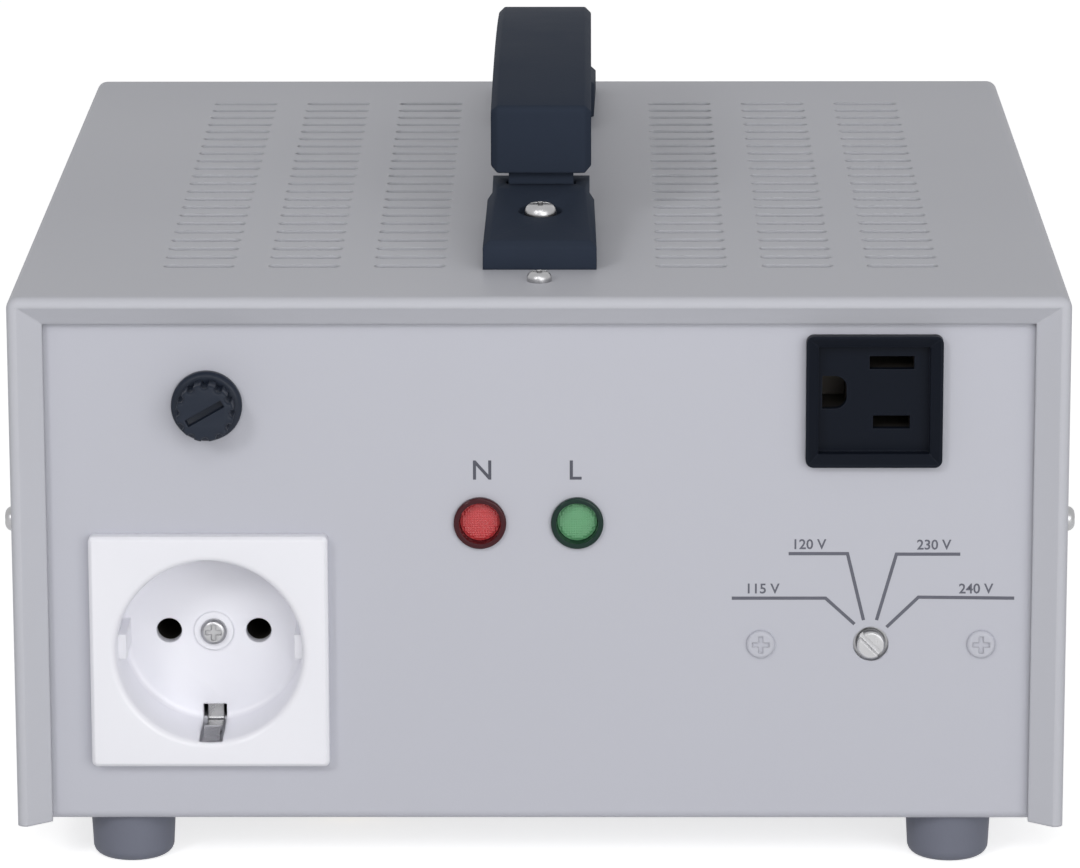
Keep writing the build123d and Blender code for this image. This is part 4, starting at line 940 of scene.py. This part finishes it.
@dataclass
class PilotLamps:
    """Two pilot lamps with a disc of small pyramids in the sunk face of each lens; the lens body is a dark
    copy of its colour as painted shade, the pyramids a bright copy as painted light.
    """

    face_radius: float = 4.15 * MM
    cell: float = 0.5 * MM
    slab: float = 0.35 * MM
    disc: float = 0.3 * MM
    sides: int = 48
    peak: float = 0.2 * MM
    sunk: float = 2.6 * MM
    cell_reach: float = 0.71
    smooth: float = 10.0

    def build(self) -> None:
        """Dress the lenses and add the pyramids behind each face."""
        dress_nodes("lamp_red_lens", "lamp_green_lens", "lamp_clips", "lamp_sleeves", "lamp_bulbs")
        first = self.pyramids("lamp_red_pattern", "lamp_red_lens")
        second = self.pyramids("lamp_green_pattern", "lamp_green_lens")
        Bench.seat(first, "lamp_red_pattern", RED_LIT_PATTERN, Body.ROOT, Slot.RED)
        Bench.seat(second, "lamp_green_pattern", GREEN_LIT_PATTERN, Body.ROOT, Slot.GREEN)

    def pyramids(self, name: str, lens: str) -> bpy.types.Object:
        """Model a slab of small pyramids with a round disc in it, on the face of one lens.

        Args:
            name: Name of the piece.
            lens: Node of the lens that it lies in.

        Returns:
            The piece, in its place.
        """
        low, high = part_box(lens)
        centre = Vector(((low.x + high.x) / 2, low.y + self.sunk, (low.z + high.z) / 2))
        count = math.ceil(2 * self.face_radius / self.cell)
        Bench.clear()
        bpy.ops.mesh.primitive_grid_add(
            x_subdivisions=count, y_subdivisions=count, size=count * self.cell,
            location=(0, 0, 0),
        )
        piece = bpy.context.object
        piece.name = name
        Bench.edit(piece)
        limit = self.face_radius - self.cell * self.cell_reach
        Bench.pick_faces(piece, lambda middle, normal: middle.length > limit)
        bpy.ops.mesh.delete(type="FACE")
        bpy.ops.mesh.select_all(action="SELECT")
        bpy.ops.mesh.extrude_region_move(TRANSFORM_OT_translate={"value": (0, 0, self.slab)})
        Bench.pick_faces(piece, lambda middle, normal: middle.z > self.slab * 0.9 and normal.z > 0.5)
        bpy.ops.mesh.poke(offset=self.peak)
        bpy.ops.mesh.primitive_circle_add(
            vertices=self.sides, radius=self.face_radius, fill_type="NGON",
            location=(0, 0, self.slab - self.disc - self.peak / 4),
        )
        bpy.ops.mesh.extrude_region_move(TRANSFORM_OT_translate={"value": (0, 0, self.disc)})
        bpy.ops.object.mode_set(mode="OBJECT")
        piece.rotation_euler = (math.pi / 2, 0, 0)
        piece.location = centre
        Bench.settle(piece, self.smooth)
        return piece


@dataclass
class TapSelector:
    """Slotted selector shaft and its switch."""

    nodes: tuple[str, ...] = (
        "selector_plate", "selector_screws", "selector_end", "selector_body",
        "selector_contacts", "selector_shaft", "selector_disc", "selector_wiper",
    )

    def build(self) -> None:
        """Dress the selector."""
        dress_nodes(*self.nodes)


@dataclass
class PanelPrint:
    """Printed leader lines and numbers of the tap selector, and the letters over the lamps."""

    thickness: float = 0.06 * MM
    line_width: float = 0.7 * MM
    boldness: float = 0.05 * MM
    smooth: float = 30.0
    letter_steps: int = 3
    mitre_limit: float = 0.3
    lines: dict[str, tuple[tuple[float, float], ...]] = field(
        default_factory=lambda: {
            "leader_low_left": ((40.24, 48.33), (59.88, 48.34), (66.00, 42.69)),
            "leader_high_left": ((52.07, 57.98), (64.38, 57.98), (67.87, 43.56)),
            "leader_high_right": ((87.94, 57.87), (74.60, 57.87), (70.59, 43.56)),
            "leader_low_right": ((99.36, 48.34), (79.31, 48.55), (72.70, 42.03)),
        }
    )
    words: dict[str, tuple[str, float, float, float]] = field(
        default_factory=lambda: {
            "mark_115": ("115 V", 46.6, 49.4, 3.0),
            "mark_120": ("120 V", 56.3, 59.0, 3.0),
            "mark_230": ("230 V", 82.4, 58.9, 3.0),
            "mark_240": ("240 V", 91.3, 49.4, 3.0),
            "mark_n": ("N", -11.9, 74.0, 5.9),
            "mark_l": ("L", 7.4, 74.0, 5.9),
        }
    )

    def build(self) -> None:
        """Make every line and mark."""
        for name, points in self.lines.items():
            self.line(name, points)
        for name, (word, x, z, height) in self.words.items():
            self.mark(name, word, x, z, height)

    def on_panel(self, x: float, z: float) -> Vector:
        """Point on the panel's face, from millimetres across and over the case's lower edge."""
        return Vector((x * MM, PANEL_Y, CASE_BOTTOM + z * MM))

    def line(self, name: str, points: tuple[tuple[float, float], ...]) -> bpy.types.Object:
        """Model one bent line as a thin strip.

        Args:
            name: Name of the piece.
            points: Its corners, in millimetres on the panel.

        Returns:
            The piece.
        """
        places = [self.on_panel(x, z) for x, z in points]
        Bench.clear()
        bpy.ops.mesh.primitive_plane_add(size=1, location=(0, 0, 0))
        piece = bpy.context.object
        corners = self.strip_corners(places)
        (first, second), (third, fourth) = corners[:2]
        for vertex, place in zip(piece.data.vertices, (first, third, second, fourth)):
            vertex.co = place
        Bench.edit(piece, "EDGE")
        bpy.ops.object.mode_set(mode="OBJECT")
        for edge in piece.data.edges:
            ends = {tuple(round(v, 7) for v in piece.data.vertices[i].co) for i in edge.vertices}
            edge.select = ends == {tuple(round(v, 7) for v in corner) for corner in corners[1]}
        bpy.ops.object.mode_set(mode="EDIT")
        bpy.ops.mesh.extrude_region_move(TRANSFORM_OT_translate={"value": tuple(places[2] - places[1])})
        bpy.ops.object.mode_set(mode="OBJECT")
        tail = [vertex for vertex in piece.data.vertices if vertex.select]
        for vertex in tail:
            nearest = min(corners[2], key=lambda corner: (corner - vertex.co).length)
            vertex.co = nearest
        Bench.modify(piece, "SOLIDIFY", thickness=self.thickness, offset=0.0)
        Bench.settle(piece, self.smooth)
        return Bench.seat(piece, name, INK, Body.ROOT)

    def strip_corners(self, places: list[Vector]) -> list[tuple[Vector, Vector]]:
        """Both edges of the strip at each corner of the line, mitred at the bend.

        Args:
            places: The line's corners.

        Returns:
            For each corner, its two edge points.
        """
        result = []
        for index, place in enumerate(places):
            before = (place - places[index - 1]).normalized() if index > 0 else None
            after = (places[index + 1] - place).normalized() if index + 1 < len(places) else None
            before = before or after
            after = after or before
            middle = (before + after).normalized()
            across = Vector((-middle.z, 0, middle.x))
            spread = self.line_width / 2 / max(self.mitre_limit, middle.dot(before))
            result.append((place + across * spread, place - across * spread))
        return result

    def mark(self, name: str, word: str, x: float, z: float, height: float) -> bpy.types.Object:
        """Model one printed word.

        Args:
            name: Name of the piece.
            word: What it says.
            x: Middle of the word across the panel, in millimetres.
            z: Its foot over the case's lower edge, in millimetres.
            height: Size of the letters, in millimetres.

        Returns:
            The piece.
        """
        Bench.clear()
        bpy.ops.object.text_add(location=(0, 0, 0))
        text = bpy.context.object
        text.data.body = word
        text.data.align_x = "CENTER"
        text.data.size = height * MM
        text.data.extrude = self.thickness / 2
        text.data.offset = self.boldness
        text.data.resolution_u = self.letter_steps
        Bench.take(text)
        bpy.ops.object.convert(target="MESH")
        piece = bpy.context.object
        piece.rotation_euler = (math.pi / 2, 0, 0)
        piece.location = self.on_panel(x, z)
        Bench.settle(piece, self.smooth)
        return Bench.seat(piece, name, BLACK_INK if len(word) == 1 else INK, Body.ROOT)


@dataclass
class Transformer:
    """Laminated core, windings, clamps and tags."""

    nodes: tuple[str, ...] = (
        "core_laminations", "bobbin", "winding_common", "winding_series", "winding_tape", "tap_tags",
        "core_foot_angles", "core_top_straps", "core_bolts", "core_nuts", "angle_screws", "angle_nuts",
        "earth_stud", "earth_nuts", "gland_body", "gland_dome_nut", "gland_seal",
    )

    def build(self) -> None:
        """Dress the transformer, the earth stud and the cable gland."""
        dress_nodes(*self.nodes)


@dataclass
class Studio:
    """Floor, soft lights and the camera of the photograph."""

    eye: tuple[float, float, float] = (0.01052, -1.3486, 0.3985)
    pitch: float = 0.2419
    yaw: float = -0.0084
    roll: float = -0.0022
    lens: float = 203.3
    sensor: float = 36.0
    floor_size: float = 14.0
    floor_tone: float = 0.8
    floor_glow: float = 0.7
    ambient: float = 0.345
    left_power: float = 4.9
    front_power: float = 2.8
    right_power: float = 22.8
    aim: tuple[float, float, float] = (0.0, -0.1, 0.06)

    def build(self) -> None:
        """Make everything that isn't part of the object."""
        self.floor()
        self.world()
        self.lamp("left_softbox", (-0.75, -1.35, 0.85), 0.35, self.left_power)
        self.lamp("front_softbox", (0.0, -1.3, 1.0), 0.5, self.front_power)
        self.lamp("right_softbox", (0.9, -2.0, 0.35), 1.6, self.right_power)
        self.camera()
        scene = bpy.context.scene
        scene.view_settings.view_transform = "Standard"

    def floor(self) -> None:
        """Pale floor that keeps the shadow."""
        Bench.clear()
        bpy.ops.mesh.primitive_plane_add(size=self.floor_size, location=(0, 0, 0))
        plane = bpy.context.object
        plane.name = "studio_floor"
        material = bpy.data.materials.new("studio_floor")
        material.use_nodes = True
        sheet = NodeSheet(material.node_tree)
        diffuse = sheet.add("ShaderNodeBsdfDiffuse", color=(*[self.floor_tone] * 3, 1.0))
        glow = sheet.add("ShaderNodeEmission", color=(1.0, 1.0, 1.0, 1.0))
        light = sheet.add("ShaderNodeLightPath")
        seen = sheet.math("MAXIMUM", light.outputs["Is Camera Ray"], light.outputs["Is Glossy Ray"])
        seen = sheet.math("MAXIMUM", seen, light.outputs["Is Transmission Ray"])
        sheet.join(sheet.math("MULTIPLY", seen, self.floor_glow), glow.inputs["Strength"])
        both = sheet.add("ShaderNodeAddShader")
        sheet.join(diffuse.outputs[0], both.inputs[0])
        sheet.join(glow.outputs[0], both.inputs[1])
        output = sheet.add("ShaderNodeOutputMaterial")
        sheet.join(both.outputs[0], output.inputs["Surface"])
        plane.data.materials.append(material)

    def world(self) -> None:
        """Even light from all round, and a white background."""
        world = bpy.data.worlds.new("studio")
        bpy.context.scene.world = world
        world.use_nodes = True
        sheet = NodeSheet(world.node_tree)
        light = sheet.add("ShaderNodeLightPath")
        seen = sheet.math("MAXIMUM", light.outputs["Is Camera Ray"], light.outputs["Is Glossy Ray"])
        seen = sheet.math("MAXIMUM", seen, light.outputs["Is Transmission Ray"])
        dim = sheet.add("ShaderNodeBackground", color=(1.0, 1.0, 1.0, 1.0), strength=self.ambient)
        white = sheet.add("ShaderNodeBackground", color=(1.0, 1.0, 1.0, 1.0), strength=1.0)
        mix = sheet.add("ShaderNodeMixShader")
        sheet.join(seen, mix.inputs[0])
        sheet.join(dim.outputs[0], mix.inputs[1])
        sheet.join(white.outputs[0], mix.inputs[2])
        output = sheet.add("ShaderNodeOutputWorld")
        sheet.join(mix.outputs[0], output.inputs["Surface"])

    def lamp(self, name: str, place: tuple[float, float, float], size: float, power: float) -> None:
        """Add one soft area light that points at the object.

        Args:
            name: Name of the light.
            place: Where it hangs.
            size: Its side, in metres.
            power: Its power, in watts.
        """
        Bench.clear()
        bpy.ops.object.light_add(type="AREA", location=place)
        light = bpy.context.object
        light.name = name
        light.data.size = size
        light.data.energy = power
        aim = Vector(self.aim) - Vector(place)
        light.rotation_euler = aim.to_track_quat("-Z", "Y").to_euler()

    def camera(self) -> None:
        """Camera at the photograph's viewing point."""
        Bench.clear()
        bpy.ops.object.camera_add(location=self.eye)
        camera = bpy.context.object
        camera.data.sensor_fit = "HORIZONTAL"
        camera.data.sensor_width = self.sensor
        camera.data.lens = self.lens
        camera.data.clip_end = 100.0
        forward = Vector((
            math.sin(self.yaw) * math.cos(self.pitch),
            math.cos(self.yaw) * math.cos(self.pitch),
            -math.sin(self.pitch),
        ))
        level = Vector((math.cos(self.yaw), -math.sin(self.yaw), 0.0))
        upright = level.cross(forward)
        right = math.cos(self.roll) * level + math.sin(self.roll) * upright
        top = -math.sin(self.roll) * level + math.cos(self.roll) * upright
        turn = Matrix((right, top, -forward)).transposed()
        camera.rotation_euler = turn.to_euler()
        bpy.context.scene.camera = camera


def main() -> None:
    """Build every sub-assembly in order."""
    logging.basicConfig(level=logging.INFO, format="%(message)s")
    parts = (
        Studio(), Case(), CarryHandle(), RoundOutlet(), BladeOutlet(), FuseHolder(),
        PilotLamps(), TapSelector(), PanelPrint(), Transformer(),
    )
    for part in parts:
        LOG.info("building %s", type(part).__name__)
        part.build()
    Bench.clear()


if __name__ == "__main__":
    main()
